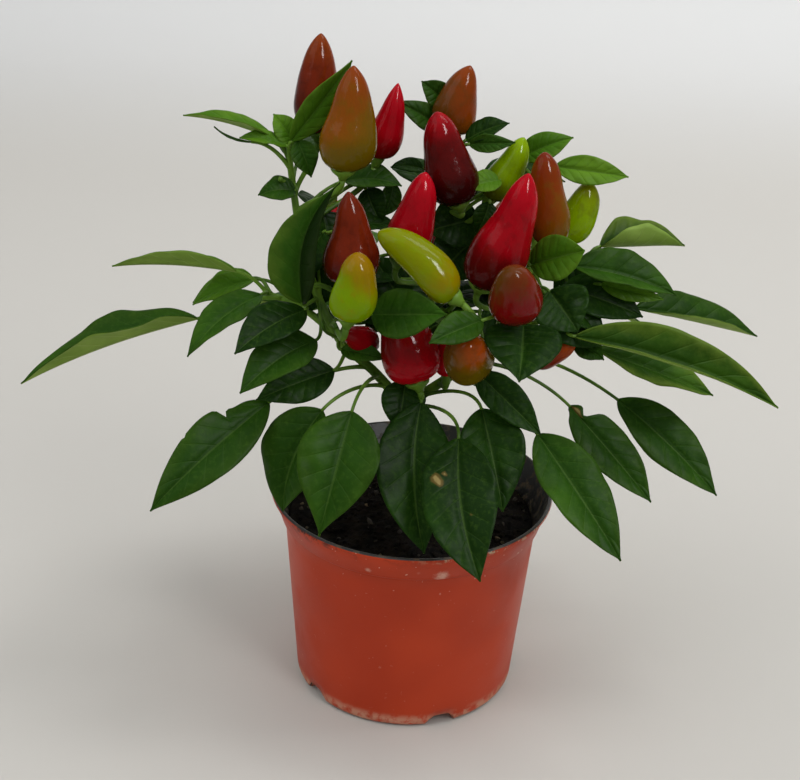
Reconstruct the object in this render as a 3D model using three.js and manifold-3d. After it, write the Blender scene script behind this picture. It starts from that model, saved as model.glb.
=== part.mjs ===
// A potted ornamental chilli pepper in a round nursery pot. Millimetres, +Z up.
// The origin is the centre of the pot's underside, on the surface that the pot stands on.
// -Y is the side that the lower leaves lean out over the rim.
import * as THREE from "three";
import { mergeVertices } from "three/addons/utils/BufferGeometryUtils.js";
import Module from "manifold-3d";

const wasm = await Module();
wasm.setup();

const CLEARANCE = 0.3; // between two pieces that touch
const vector = ([x, y, z]) => new THREE.Vector3(x, y, z);

// ---------------------------------------------------------------- pot
const POT = {
  height: 77,
  rimRadius: 50.5, // outer, at the top edge
  lipHeight: 10.5,
  lipFootRadius: 47, // outer, at the lower edge of the lip
  bodyTopRadius: 45.6, // outer, just under the lip
  footRadius: 40.7, // outer, just above the rounded bottom edge
  footRounding: 2.5,
  cornerSteps: 3, // facets round the bottom edge
  rimRounding: 0.5,
  wall: 1.3,
  floor: 2,
  segments: 40,
};
const DRAIN = {
  count: 5,
  width: 10, // round the foot
  height: 4.6,
  reach: 7, // from the foot's edge towards the middle
  firstAngle: -70, // degrees from +X
};
const SOIL = {
  level: 66, // mean height of its surface
  lump: 1.6, // how far the crumbs rise and fall
  shrinkage: 0.5, // the dried soil's gap to the wall
  rings: 5,
  segments: 30,
  socketSteps: 9,
};

// ---------------------------------------------------------------- branches
// Each branch is a smooth line through its points. Its radius falls from the first to the second.
const FORK = [-4, -5, 111];
const LEFT_FORK = [-28, -8, 138];
const RIGHT_FORK = [27, -4, 137];
const BACK_FORK = [-6, 10, 123];
const BRANCHES = {
  trunk: { radius: [3, 2.3], points: [[3, 0, 56], [1, -1, 78], [-1, -3, 96], FORK] },
  left: { radius: [1.8, 1.1], points: [FORK, [-15, -8, 125], LEFT_FORK, [-39, -5, 164], [-45, -1, 198]] },
  centre: { radius: [1.8, 1], points: [FORK, [2, 1, 134], [5, 7, 162], [8, 10, 190]] },
  right: { radius: [1.8, 1.1], points: [FORK, [12, -6, 124], RIGHT_FORK, [36, 4, 158], [39, 10, 188]] },
  outer_left: { radius: [1.4, 1], points: [LEFT_FORK, [-40, -5, 146], [-52, -1, 149]] },
  outer_right: { radius: [1.5, 1.1], points: [RIGHT_FORK, [42, 2, 143], [57, 6, 150]] },
  back: { radius: [1.7, 1], points: [FORK, BACK_FORK, [-12, 24, 136], [-16, 34, 150]] },
  back_right: { radius: [1.4, 1], points: [BACK_FORK, [6, 22, 131], [18, 32, 141]] },
};
const STEM = {
  sides: 7,
  stepsPerSpan: 2,
  knot: 1.25, // swelling at a fork, against the branch's own radius
  fruitStalk: 1.1, // radius
  leafStalk: 0.9, // radius
  fruitStalkSides: 5,
  leafStalkSides: 4,
  stalkSteps: 3,
  calyxSides: 6,
  calyxDepth: 3,
};

// ---------------------------------------------------------------- fruits
// name, branch, how far along it the stalk leaves, seat on the calyx, tip, width, bluntness, ripeness
const RIPE = { green: 0x7a8800, olive: 0x6b5a14, brown: 0x6e3412, maroon: 0x4a0c0c, red: 0xb00818 };
const FRUITS = [
  ["fruit_top_left_brown", "left", 0.86, [-36, 7, 203], [-35.5, 7, 235], 16, 0.6, "brown"],
  ["fruit_top_left_olive", "left", 0.8, [-26.5, -14, 197], [-24, -14, 230], 18.6, 0.5, "olive"],
  ["fruit_top_left_red", "left", 0.72, [-16.5, 8, 195], [-10.5, 8, 220], 12, 0.3, "red"],
  ["fruit_top_middle_brown", "centre", 0.96, [8, 14, 203], [12.5, 13, 225.5], 15, 0.6, "brown"],
  ["fruit_top_middle_maroon", "centre", 0.84, [11, -2, 184], [2, -3, 214], 17.6, 0.9, "maroon"],
  ["fruit_top_right_lime", "centre", 0.7, [21, 4, 184], [31, 4, 205], 12, 0.8, "green"],
  ["fruit_right_red", "right", 0.5, [19, -15, 160.5], [31.5, -19, 200], 19.6, 0.6, "red"],
  ["fruit_right_brown", "right", 0.75, [42, -5, 172], [37, -5, 203], 14.2, 1.1, "brown"],
  ["fruit_right_yellow", "right", 0.8, [47, 11, 168], [55, 11, 189], 13, 1, "green"],
  ["fruit_middle_red", "centre", 0.5, [-8, -14, 168], [-0.5, -14, 197.5], 15, 0.8, "red"],
  ["fruit_middle_slanting", "centre", 0.3, [10, -35, 164], [-14.5, -29, 182.5], 13.4, 1.2, "green"],
  ["fruit_left_brown", "left", 0.55, [-23.5, -18, 161], [-24.5, -20, 192], 19, 0.35, "brown"],
  ["fruit_front_lime", "left", 0.4, [-23, -37, 156], [-20, -38, 178.5], 15, 1.1, "green"],
  ["fruit_right_round", "right", 0.55, [30, -29, 158], [27, -45, 177], 17.4, 1, "maroon"],
  ["fruit_low_dark_red", "centre", 0.1, [0, -22, 128], [-9, -14, 155], 19.5, 0.9, "maroon"],
  ["fruit_low_orange", "right", 0.3, [16, -26, 137], [15, -43, 151.5], 17, 0.9, "brown"],
  ["fruit_low_small_red", "right", 0.15, [9.5, -13.6, 127], [8.5, -12.6, 144], 7.8, 0.6, "red"],
  ["fruit_low_left_red", "left", 0.25, [-16, -9, 135.5], [-24.5, -22, 145], 10, 0.6, "red"],
  ["fruit_inner_red", "centre", 0.5, [7, 15, 160], [6, 15, 174], 8, 0.6, "maroon"],
  ["fruit_under_right", "right", 0.35, [38, -10, 133], [52, -14, 141], 11, 0.7, "maroon"],
  ["fruit_back_red", "back", 0.95, [-27, 36, 140], [-31, 38, 170], 16, 0.5, "red"],
  ["fruit_back_olive", "back_right", 0.95, [25, 38, 145], [31, 41, 174], 16, 0.6, "olive"],
].map(([name, branch, leaves, base, tip, width, blunt, ripe]) => ({
  name, branch, leaves, base: vector(base), tip: vector(tip), width, blunt, ripe,
}));
const FRUIT = {
  sides: 12,
  rings: 8,
  shoulder: 0.27, // share of the length where it is widest
  seat: 0.34, // the flat end's radius against the widest
  taper: 1.2, // 1 is a straight cone, and more swells its sides
  point: 0.82, // how sharply it closes; blunter fruits swell more and close less sharply
  pointLoss: 0.22,
};

// ---------------------------------------------------------------- leaves
// name, branch, how far along it the stalk leaves, start of the blade, tip, width, how far the midrib
// bows up, the way the upper face looks, and then what is unusual about the leaf:
// bend is a sideways bow of the midrib, fold the angle of each half, widest the widest place's share.
const LEAVES = [
  ["leaf_front_1", "trunk", 0.98, [14, -37, 116], [22, -70, 82.5], 25, 4, [-0.3, -1, 0.8], { bend: -2 }],
  ["leaf_front_2", "trunk", 0.9, [1.5, -24, 122], [4.5, -51, 80], 25, 4, [0, -1, 0.8], { bend: -3 }],
  ["leaf_front_3", "right", 0.05, [21.5, -24, 120.5], [29.5, -45, 93.5], 22, 3, [0.1, -1, 0.8], {}],
  ["leaf_front_4", "right", 0.2, [19, -20, 132], [41, -34, 116.5], 13, 1, [0.3, -1, 0.5], {}],
  ["leaf_front_right_1", "right", 0.2, [40, -30, 115], [67, -60, 86], 21, 3, [0, -1, 1], {}],
  ["leaf_front_right_2", "right", 0.3, [52, -12, 117], [80, -32, 92], 17, 2, [0, -1, 1], {}],
  ["leaf_front_right_3", "right", 0.35, [71, 5, 112], [106, -15, 86], 19, 3, [0, -0.6, 1], {}],
  ["leaf_front_left_1", "left", 0.15, [-21, -35, 123], [-30, -53, 86], 27, 4, [0, -1, 0.6], { widest: 0.36 }],
  ["leaf_front_left_2", "left", 0.1, [-31, -27, 119], [-43, -38, 86], 25, 4, [-0.5, -1, 0.6], { bend: -2 }],
  ["leaf_front_left_3", "left", 0.2, [-49, -23, 119], [-85, -50, 91], 20, 4, [-0.2, -1, 0.8], {}],
  ["leaf_left_1", "left", 0.3, [-28, -15, 128], [-53, -27, 121.5], 15, 2, [0, -1, 0.8], {}],
  ["leaf_left_2", "left", 0.5, [-34, -18, 140], [-57, -38, 129], 17, 4, [0, -0.5, 1], {}],
  ["leaf_left_3", "outer_left", 0.5, [-38, -14, 149], [-59, -34, 141], 16, 3, [0, -0.5, 1], {}],
  ["leaf_left_4", "outer_left", 1, [-53, -7, 151], [-75, -29, 137], 15, 4, [0, -0.2, 1], {}],
  ["leaf_left_5", "outer_left", 1, [-62, 0, 156], [-106, 8, 153], 12, 2, [0, 0.5, 1], { fold: 30 }],
  ["leaf_left_6", "outer_left", 0.95, [-58, 10, 150], [-81, 22, 135], 13, 2, [0, -0.5, 1], {}],
  ["leaf_far_left", "outer_left", 0.8, [-75, -4, 140], [-134, -15, 118], 22, 3, [0, 0.1, 1], { fold: 42 }],
  ["leaf_middle_1", "left", 0.35, [-16, -30, 155], [7.5, -43, 161.5], 16.5, 0.5, [0, -1, 0.6], {}],
  ["leaf_middle_2", "right", 0.4, [19, -38, 158], [2.5, -49.5, 154.5], 11, 1, [0, -1, 1], {}],
  ["leaf_middle_3", "right", 0.45, [33, -26, 152], [31, -48, 142], 25, 2, [0, -1, 0.5], {}],
  ["leaf_inner_right", "right", 0.55, [42, -6, 153.5], [62, -4, 142.5], 17, 2, [0, -0.6, 1], {}],
  ["leaf_right_1", "right", 0.6, [34.5, -14, 168], [50, -26, 178], 15, 1, [-0.3, -1, 0.5], { widest: 0.5 }],
  ["leaf_right_2", "outer_right", 0.95, [60, 12, 166], [90, 17, 166], 20, 1, [0, -0.4, 1], { fold: 35 }],
  ["leaf_right_3", "outer_right", 0.8, [50, 0, 163], [86, 0, 154], 17, 3, [0, -0.6, 1], { fold: 35 }],
  ["leaf_right_4", "outer_right", 0.9, [75, 15, 143], [122, 25, 130], 19, 1, [0, -0.6, 1], { fold: 32 }],
  ["leaf_far_right", "outer_right", 0.5, [51, -15, 144], [122, -15, 121], 20, 6, [0, -0.7, 1], { fold: 38 }],
  ["leaf_right_5", "outer_right", 0.6, [61, -2, 134], [104, 3, 116], 17, 1, [0, -0.6, 1], { fold: 28 }],
  ["leaf_top_right", "right", 1, [42, 10, 194], [67, 10, 191.5], 10, 1, [0, -1, 0.5], {}],
  ["leaf_top_left_1", "left", 0.97, [-49, -1, 202], [-78, -5, 210], 11, 2, [0, -0.1, 1], { fold: 30 }],
  ["leaf_top_left_2", "left", 0.94, [-44, -4, 202.5], [-25, -3, 229], 11, 1, [0.6, -1, 0.2], {}],
  [
    "leaf_upper_left", "left", 0.5, [-39, -14, 151], [-27, -24, 196], 21, 3, [-0.5, -1, 0.2],
    { bend: 5, fold: 34, widest: 0.32 },
  ],
  ["leaf_back_1", "back", 0.5, [-34, 34, 130], [-72, 62, 112], 26, 6, [-0.4, 0.4, 1], {}],
  ["leaf_back_2", "back", 0.7, [-8, 48, 130], [-14, 90, 110], 27, 6, [0, 0.6, 1], {}],
  ["leaf_back_3", "back_right", 0.7, [24, 46, 130], [48, 82, 108], 27, 6, [0.3, 0.5, 1], {}],
  ["leaf_back_4", "back_right", 0.6, [44, 32, 132], [88, 54, 118], 24, 6, [0.3, 0.3, 1], {}],
].map(([name, branch, leaves, base, tip, width, arch, faces, unusual]) => ({
  name, branch, leaves, base: vector(base), tip: vector(tip), width, arch, faces: vector(faces), ...unusual,
}));
const LEAF = {
  thickness: 0.7,
  fold: 18,
  widest: 0.42,
  rise: 0.8, // how suddenly the outline widens from its base; 1 is a straight-sided point
  narrowest: 0.9,
  spans: 8,
  colour: 0x2f5a1c,
};

// ---------------------------------------------------------------- helpers
const UP = new THREE.Vector3(0, 0, 1);

function solidFrom(geometry) {
  const plain = geometry.clone();
  plain.deleteAttribute("normal");
  plain.deleteAttribute("uv");
  const merged = mergeVertices(plain, 1e-4);
  const mesh = new wasm.Mesh({
    numProp: 3,
    vertProperties: new Float32Array(merged.attributes.position.array),
    triVerts: new Uint32Array(merged.index.array),
  });
  return new wasm.Manifold(mesh);
}

function geometryFrom(solid) {
  const mesh = solid.getMesh();
  const geometry = new THREE.BufferGeometry();
  geometry.setAttribute("position", new THREE.BufferAttribute(mesh.vertProperties, 3));
  geometry.setIndex(new THREE.BufferAttribute(mesh.triVerts, 1));
  geometry.computeVertexNormals();
  return geometry;
}

function named(name, geometry, color, roughness) {
  const material = new THREE.MeshStandardMaterial({ color, roughness, metalness: 0 });
  const mesh = new THREE.Mesh(geometry, material);
  mesh.name = name;
  return mesh;
}

function moveVertices(geometry, move) {
  const position = geometry.attributes.position;
  const point = new THREE.Vector3();
  for (let i = 0; i < position.count; i += 1) {
    move(point.fromBufferAttribute(position, i));
    position.setXYZ(i, point.x, point.y, point.z);
  }
  return geometry;
}

// Lathe profiles are given as [radius, height]; the lathe's own axis is Y, so it is turned to Z.
function latheZ(profile, segments) {
  const points = profile.map(([radius, height]) => new THREE.Vector2(radius, height));
  return new THREE.LatheGeometry(points, segments).rotateX(Math.PI / 2);
}

// A round tube along a curve, thinning from one radius to another.
function taperedTube(curve, [firstRadius, lastRadius], sides, steps) {
  const section = new THREE.Shape();
  for (let side = 0; side < sides; side += 1) {
    const angle = (2 * Math.PI * side) / sides;
    const place = [firstRadius * Math.cos(angle), firstRadius * Math.sin(angle)];
    if (side === 0) section.moveTo(...place);
    else section.lineTo(...place);
  }
  const tube = new THREE.ExtrudeGeometry(section, { steps, extrudePath: curve });
  const centres = curve.getSpacedPoints(steps);
  return moveVertices(tube, (point) => {
    let step = 0;
    centres.forEach((centre, i) => {
      if (point.distanceTo(centre) < point.distanceTo(centres[step])) step = i;
    });
    const scale = 1 + (lastRadius / firstRadius - 1) * (step / steps);
    point.sub(centres[step]).multiplyScalar(scale).add(centres[step]);
  });
}

// ---------------------------------------------------------------- pot and soil
function potGeometry() {
  const { height, rimRadius, lipHeight, lipFootRadius, bodyTopRadius } = POT;
  const { footRadius, footRounding, cornerSteps, rimRounding, wall, floor } = POT;
  const lipFoot = height - lipHeight;
  const corner = [];
  for (let step = 0; step <= cornerSteps; step += 1) {
    const angle = (Math.PI / 2) * (step / cornerSteps);
    const centre = footRadius - footRounding;
    corner.push([centre + footRounding * Math.sin(angle), footRounding * (1 - Math.cos(angle))]);
  }
  const profile = [
    [0, 0],
    ...corner,
    [bodyTopRadius, lipFoot],
    [lipFootRadius, lipFoot],
    [rimRadius, height - rimRounding],
    [rimRadius - rimRounding, height],
    [rimRadius - wall, height],
    [lipFootRadius - wall, lipFoot + wall],
    [bodyTopRadius - wall, lipFoot - wall],
    [footRadius - wall, floor + wall],
    [footRadius - 2 * wall, floor],
    [0, floor],
  ];
  let pot = solidFrom(latheZ(profile, POT.segments));
  for (let i = 0; i < DRAIN.count; i += 1) {
    const angle = THREE.MathUtils.degToRad(DRAIN.firstAngle + (360 / DRAIN.count) * i);
    const slot = new THREE.BoxGeometry(DRAIN.reach * 2, DRAIN.width, DRAIN.height * 2);
    slot.translate(footRadius, 0, 0).rotateZ(angle);
    pot = pot.subtract(solidFrom(slot));
  }
  return geometryFrom(pot);
}

// The hole that the trunk stands in.
function trunkSocket() {
  const [radius, upperRadius] = BRANCHES.trunk.radius;
  return taperedTube(branchCurves.trunk, [radius + CLEARANCE, upperRadius], STEM.sides, SOIL.socketSteps);
}

// The surface is heaped a little round the trunk and pitted by crumbs, most of all in the middle.
function soilGeometry() {
  const { lump, level, rings, segments } = SOIL;
  const inset = POT.wall + SOIL.shrinkage;
  const slope = (POT.bodyTopRadius - POT.footRadius) / (POT.height - POT.lipHeight - POT.footRounding);
  const edge = POT.footRadius + slope * (level - lump - POT.footRounding) - inset;
  const bottom = POT.floor + CLEARANCE;
  const profile = [
    [0, bottom],
    [POT.footRadius - inset - POT.wall, bottom],
    [POT.footRadius - inset, bottom + POT.wall],
  ];
  for (let ring = 0; ring <= rings; ring += 1) {
    profile.push([edge * (1 - ring / rings), level]);
  }
  const soil = moveVertices(latheZ(profile, segments), (point) => {
    if (point.z < level) return;
    const fromMiddle = Math.hypot(point.x, point.y) / edge;
    const coarse = Math.sin(point.x * 0.31) * Math.cos(point.y * 0.27);
    const fine = Math.sin(point.x * 0.9 + point.y * 0.7);
    const crumbs = (0.6 * coarse + 0.3 * fine) * (1 - 0.6 * fromMiddle);
    const heap = 0.6 * Math.cos(Math.PI * fromMiddle);
    point.z += lump * (crumbs + heap);
  });
  return geometryFrom(solidFrom(soil).subtract(solidFrom(trunkSocket())));
}

// ---------------------------------------------------------------- stems
const branchCurves = {};
for (const [name, { points }] of Object.entries(BRANCHES)) {
  branchCurves[name] = new THREE.CatmullRomCurve3(points.map(vector));
}

// A stalk leaves its branch, swings round and arrives at its end in the direction asked for.
function stalkCurve({ branch, leaves }, end, direction) {
  const start = branchCurves[branch].getPointAt(leaves);
  const span = start.distanceTo(end);
  const leaving = start.clone().lerp(end, 0.3).addScaledVector(UP, span * 0.15);
  const arriving = end.clone().addScaledVector(direction, -span * 0.35);
  return new THREE.CubicBezierCurve3(start, leaving, arriving, end);
}

function placed(geometry, origin, direction) {
  const turn = new THREE.Quaternion().setFromUnitVectors(UP, direction);
  return geometry.applyQuaternion(turn).translate(origin.x, origin.y, origin.z);
}

// The green cup under a fruit, its flat top just clear of the fruit's seat.
function calyxGeometry(fruit, axis) {
  const seat = (fruit.width / 2) * FRUIT.seat;
  const { calyxDepth, calyxSides, fruitStalk } = STEM;
  const profile = [
    [0, -calyxDepth - CLEARANCE],
    [fruitStalk * 1.1, -calyxDepth - CLEARANCE],
    [seat * 1.15, -CLEARANCE],
    [0, -CLEARANCE],
  ];
  return placed(latheZ(profile, calyxSides), fruit.base, axis);
}

function branchGeometries([name, { points, radius }]) {
  const tube = taperedTube(branchCurves[name], radius, STEM.sides, (points.length - 1) * STEM.stepsPerSpan);
  if (name === "trunk") return [tube];
  const knot = new THREE.IcosahedronGeometry(radius[0] * STEM.knot, 1).translate(...points[0]);
  return [tube, knot];
}

function fruitStalkGeometries(fruit) {
  const axis = fruit.tip.clone().sub(fruit.base).normalize();
  const end = fruit.base.clone().addScaledVector(axis, -STEM.calyxDepth * 0.7);
  const radius = [STEM.fruitStalk, STEM.fruitStalk * 1.2];
  const stalk = taperedTube(stalkCurve(fruit, end, axis), radius, STEM.fruitStalkSides, STEM.stalkSteps);
  return [stalk, calyxGeometry(fruit, axis)];
}

function leafStalkGeometry(leaf) {
  const direction = leafMidrib(leaf).midrib.getTangent(0);
  const end = leaf.base.clone().addScaledVector(direction, -CLEARANCE);
  const radius = [STEM.leafStalk, STEM.leafStalk * 0.8];
  return taperedTube(stalkCurve(leaf, end, direction), radius, STEM.leafStalkSides, STEM.stalkSteps);
}

// The trunk, branches, stalks and calyxes grew as one piece.
function stemSolid() {
  const pieces = [
    ...Object.entries(BRANCHES).flatMap(branchGeometries),
    ...FRUITS.flatMap(fruitStalkGeometries),
    ...LEAVES.map(leafStalkGeometry),
  ];
  return pieces.map(solidFrom).reduce((whole, piece) => whole.add(piece));
}

// ---------------------------------------------------------------- fruit
// Share of the full radius at a share of the length: a round shoulder, then a cone that closes.
function fruitRadius(share, blunt) {
  const { shoulder, seat, taper, point, pointLoss } = FRUIT;
  if (share < shoulder) {
    const climb = 1 - share / shoulder;
    return seat + (1 - seat) * Math.sqrt(1 - climb * climb);
  }
  const fall = (share - shoulder) / (1 - shoulder);
  return (1 - fall ** (taper + blunt)) ** (point - pointLoss * blunt);
}

function fruitGeometry(fruit) {
  const length = fruit.base.distanceTo(fruit.tip);
  const axis = fruit.tip.clone().sub(fruit.base).normalize();
  const profile = [[0, 0]];
  for (let ring = 0; ring < FRUIT.rings; ring += 1) {
    const share = Math.sin((Math.PI / 2) * (ring / FRUIT.rings)) ** 1.3;
    profile.push([(fruit.width / 2) * fruitRadius(share, fruit.blunt), length * share]);
  }
  profile.push([0, length]);
  return placed(latheZ(profile, FRUIT.sides), fruit.base, axis);
}

// ---------------------------------------------------------------- leaf
// The midrib is an arc from base to tip, bowed towards the side that the upper face looks to.
function leafMidrib({ base, tip, arch, faces, bend = 0 }) {
  const chord = tip.clone().sub(base).normalize();
  const face = faces.clone().addScaledVector(chord, -faces.dot(chord)).normalize();
  const side = new THREE.Vector3().crossVectors(face, chord);
  const middle = base.clone().lerp(tip, 0.5).addScaledVector(face, 2 * arch).addScaledVector(side, 2 * bend);
  return { midrib: new THREE.QuadraticBezierCurve3(base, middle, tip), face };
}

// Share of the full width at a share of the length: round at the base, drawn out to a point.
function leafOutline(share, widest) {
  const { rise } = LEAF;
  const fall = (rise * (1 - widest)) / widest;
  const peak = widest ** rise * (1 - widest) ** fall;
  return (share ** rise * (1 - share) ** fall) / peak;
}

function leafGeometry(leaf) {
  const { midrib, face } = leafMidrib(leaf);
  const fold = THREE.MathUtils.degToRad(leaf.fold ?? LEAF.fold);
  const widest = leaf.widest ?? LEAF.widest;
  const blade = new THREE.BoxGeometry(1, 1, 1, LEAF.spans, 2, 1);
  return moveVertices(blade, (point) => {
    const along = point.x + 0.5;
    const across = point.y * 2;
    const above = point.z * LEAF.thickness;
    const half = Math.max(leaf.width * leafOutline(along, widest), LEAF.narrowest) / 2;
    const tangent = midrib.getTangent(along);
    const side = new THREE.Vector3().crossVectors(face, tangent).normalize();
    const normal = new THREE.Vector3().crossVectors(tangent, side);
    midrib.getPoint(along, point);
    point.addScaledVector(side, half * across * Math.cos(fold));
    point.addScaledVector(normal, half * Math.abs(across) * Math.sin(fold) + above);
  });
}

// ---------------------------------------------------------------- assembly
const plant = new THREE.Group();
plant.add(named("pot", potGeometry(), 0xa8431f, 0.55));
plant.add(named("soil", soilGeometry(), 0x1c130d, 0.95));
plant.add(named("stems", geometryFrom(stemSolid()), 0x4d7028, 0.6));
for (const fruit of FRUITS) {
  plant.add(named(fruit.name, fruitGeometry(fruit), RIPE[fruit.ripe], 0.2));
}
for (const leaf of LEAVES) {
  plant.add(named(leaf.name, leafGeometry(leaf), LEAF.colour, 0.45));
}

export default plant;
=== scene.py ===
# %% [markdown]
# # A potted ornamental chilli
# This file dresses a finished CAD model of a chilli plant in a round nursery pot. The CAD model fixes
# every size and place. Here each plain solid is replaced by a finer piece of the same size: leaf blades
# with veins and folds, glossy fruits, forked stems, crumbly peat and a moulded pot. Lengths in the
# tables are in millimetres, because growers and pot makers use them, and are turned to metres once.

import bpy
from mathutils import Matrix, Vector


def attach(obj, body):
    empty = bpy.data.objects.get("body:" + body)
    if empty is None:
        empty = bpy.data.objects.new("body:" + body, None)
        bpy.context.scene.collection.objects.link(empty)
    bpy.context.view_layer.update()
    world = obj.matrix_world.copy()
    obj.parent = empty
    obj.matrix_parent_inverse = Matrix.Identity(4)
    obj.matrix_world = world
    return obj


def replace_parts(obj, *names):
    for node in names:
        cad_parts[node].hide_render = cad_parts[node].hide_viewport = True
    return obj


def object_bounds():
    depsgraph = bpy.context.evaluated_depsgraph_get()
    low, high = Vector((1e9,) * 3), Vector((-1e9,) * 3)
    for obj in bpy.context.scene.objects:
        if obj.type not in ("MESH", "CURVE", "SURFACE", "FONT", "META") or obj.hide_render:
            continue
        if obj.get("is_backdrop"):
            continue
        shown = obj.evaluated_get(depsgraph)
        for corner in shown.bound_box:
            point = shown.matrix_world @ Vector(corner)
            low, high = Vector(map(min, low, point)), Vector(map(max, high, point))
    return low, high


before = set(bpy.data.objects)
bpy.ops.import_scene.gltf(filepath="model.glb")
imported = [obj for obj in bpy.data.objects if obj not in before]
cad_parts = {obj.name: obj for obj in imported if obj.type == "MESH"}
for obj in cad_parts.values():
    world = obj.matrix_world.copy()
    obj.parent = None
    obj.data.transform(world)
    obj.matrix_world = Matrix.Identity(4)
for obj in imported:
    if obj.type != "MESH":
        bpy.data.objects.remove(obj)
cad_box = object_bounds()
print("CAD nodes:", len(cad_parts))

# %% Blender's modules
import math
import random

import bmesh
import bpy
from mathutils import Euler, Matrix, Vector, noise

MM = 0.001
UP = Vector((0, 0, 1))


def at(place):
    """A place given in millimetres, as a vector in metres."""
    return Vector(place) * MM


def paint(red, green, blue):
    """A colour as a painter mixes it, 0 to 255, turned to the linear numbers that a shader works with."""
    linear = []
    for value in (red, green, blue):
        share = value / 255
        linear.append(share / 12.92 if share < 0.04045 else ((share + 0.055) / 1.055) ** 2.4)
    return (*linear, 1)


print("one millimetre is", MM, "m")

# %% [markdown]
# ## The camera
# The plant stands on a table and is seen from a little above, as by someone sitting in front of it. A
# camera can be aimed with a Track To constraint, but here its three axes are worked out from a height
# angle and a slight roll, so that the numbers that matter are the ones that are written down.

# %% Camera
LENS = 63.0
SENSOR_WIDTH = 36
CAMERA_DISTANCE = 495 * MM
CAMERA_HEIGHT_ANGLE = math.radians(25.7)
CAMERA_ROLL = math.radians(2.44)
CAMERA_AIM = at((0, 0, 100))
CAMERA_SIDESTEP = 5.2 * MM
CAMERA_DROP = -13.2 * MM


def add_camera():
    back = Vector((0, -math.cos(CAMERA_HEIGHT_ANGLE), math.sin(CAMERA_HEIGHT_ANGLE)))
    level_right = Vector((1, 0, 0))
    level_up = back.cross(level_right)
    right = level_right * math.cos(CAMERA_ROLL) + level_up * math.sin(CAMERA_ROLL)
    up = level_up * math.cos(CAMERA_ROLL) - level_right * math.sin(CAMERA_ROLL)
    lens = bpy.data.cameras.new("camera")
    lens.sensor_width = SENSOR_WIDTH
    lens.lens = LENS
    lens.clip_start = 0.01
    camera = bpy.data.objects.new("camera", lens)
    bpy.context.scene.collection.objects.link(camera)
    place = CAMERA_AIM + back * CAMERA_DISTANCE - right * CAMERA_SIDESTEP - up * CAMERA_DROP
    turn = Matrix((right, up, back)).transposed().to_4x4()
    camera.matrix_world = Matrix.Translation(place) @ turn
    bpy.context.scene.camera = camera
    return camera


print("camera stands at", [round(v, 3) for v in add_camera().matrix_world.translation])

# %% [markdown]
# ## Light, floor and backdrop
# The plant is lit by soft daylight from a window, in front and to the right, with pale walls all round.
# Area lamps stand for the window, the ceiling and a second window on the left, and a pale world for
# the walls. The lamp called glint lights gloss only: it makes the long highlights on the fruits and
# leaves the leaves alone. The floor sweeps up into the backdrop in one curve, as a studio's paper roll
# does, so no hard line shows behind the plant.

# %% Lamps and world
DAYLIGHT = (1, 0.99, 0.97)
WHITE = (1, 1, 1)
# name: where it stands and aims, in metres, its width and height, its power and its tint
LAMPS = {
    "window": ((0.75, -0.9, 1.15), (0, 0, 0.13), (0.4, 0.6), 4, DAYLIGHT),
    "ceiling": ((0, -0.15, 1.7), (0, 0, 0), (2.2, 2.2), 9, WHITE),
    "second_window": ((-0.9, -0.35, 0.9), (0, 0, 0.12), (1.1, 0.8), 3.4, WHITE),
    "glint": ((0.62, -0.85, 0.95), (0, 0, 0.16), (0.24, 0.6), 17, WHITE),
    "wall_light": ((0.75, 0.1, 1.5), (0.6, 1.3, 0.7), (1.2, 0.7), 16, WHITE),
}
WORLD_STRENGTH = 0.5


def add_lamp(name, place, aim, size, power, tint):
    lamp = bpy.data.lights.new(name, "AREA")
    lamp.shape = "RECTANGLE"
    lamp.size, lamp.size_y = size
    lamp.energy = power
    lamp.color = tint
    holder = bpy.data.objects.new(name, lamp)
    holder.location = Vector(place)
    holder.rotation_euler = (Vector(aim) - Vector(place)).to_track_quat("-Z", "Y").to_euler()
    bpy.context.scene.collection.objects.link(holder)
    return holder


def add_world(colour, strength):
    world = bpy.data.worlds.new("pale_room")
    world.use_nodes = True
    background = world.node_tree.nodes["Background"]
    background.inputs["Color"].default_value = colour
    background.inputs["Strength"].default_value = strength
    bpy.context.scene.world = world


add_world(paint(226, 228, 230), WORLD_STRENGTH)
lamps = {name: add_lamp(name, *row) for name, row in LAMPS.items()}
lamps["glint"].visible_diffuse = False
bpy.context.scene.view_settings.view_transform = "Standard"
print("lamps:", ", ".join(lamps))

# %% [markdown]
# ## Helpers for finishes
# Every finish is a small graph of nodes. These helpers keep the graphs readable: each adds one node,
# wires its inputs to numbers or to other nodes, and gives back its output. A socket knows which graph
# it belongs to, so a helper finds the graph from what it is given.


# %% Finish helpers
def new_node(near, kind):
    """A new node in the graph that a node or a socket belongs to."""
    return near.id_data.nodes.new("ShaderNode" + kind)


def wire(value, socket):
    if isinstance(value, bpy.types.NodeSocket):
        socket.id_data.links.new(value, socket)
    else:
        socket.default_value = value


def start_finish(name, roughness=0.5, gloss=0.5):
    """A material with one shader, and the number inputs that are the same all over set on it."""
    material = bpy.data.materials.new(name)
    material.use_nodes = True
    material.node_tree.nodes.clear()
    shader = new_node(material.node_tree, "BsdfPrincipled")
    wire(shader.outputs[0], new_node(shader, "OutputMaterial").inputs[0])
    shader.inputs["Roughness"].default_value = roughness
    shader.inputs["Specular IOR Level"].default_value = gloss
    return material, shader


def calc(operation, first, second=0.0):
    node = new_node(first if isinstance(first, bpy.types.NodeSocket) else second, "Math")
    node.operation = operation
    wire(first, node.inputs[0])
    wire(second, node.inputs[1])
    return node.outputs[0]


def times(first, second):
    return calc("MULTIPLY", first, second)


def plus(first, second):
    return calc("ADD", first, second)


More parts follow.
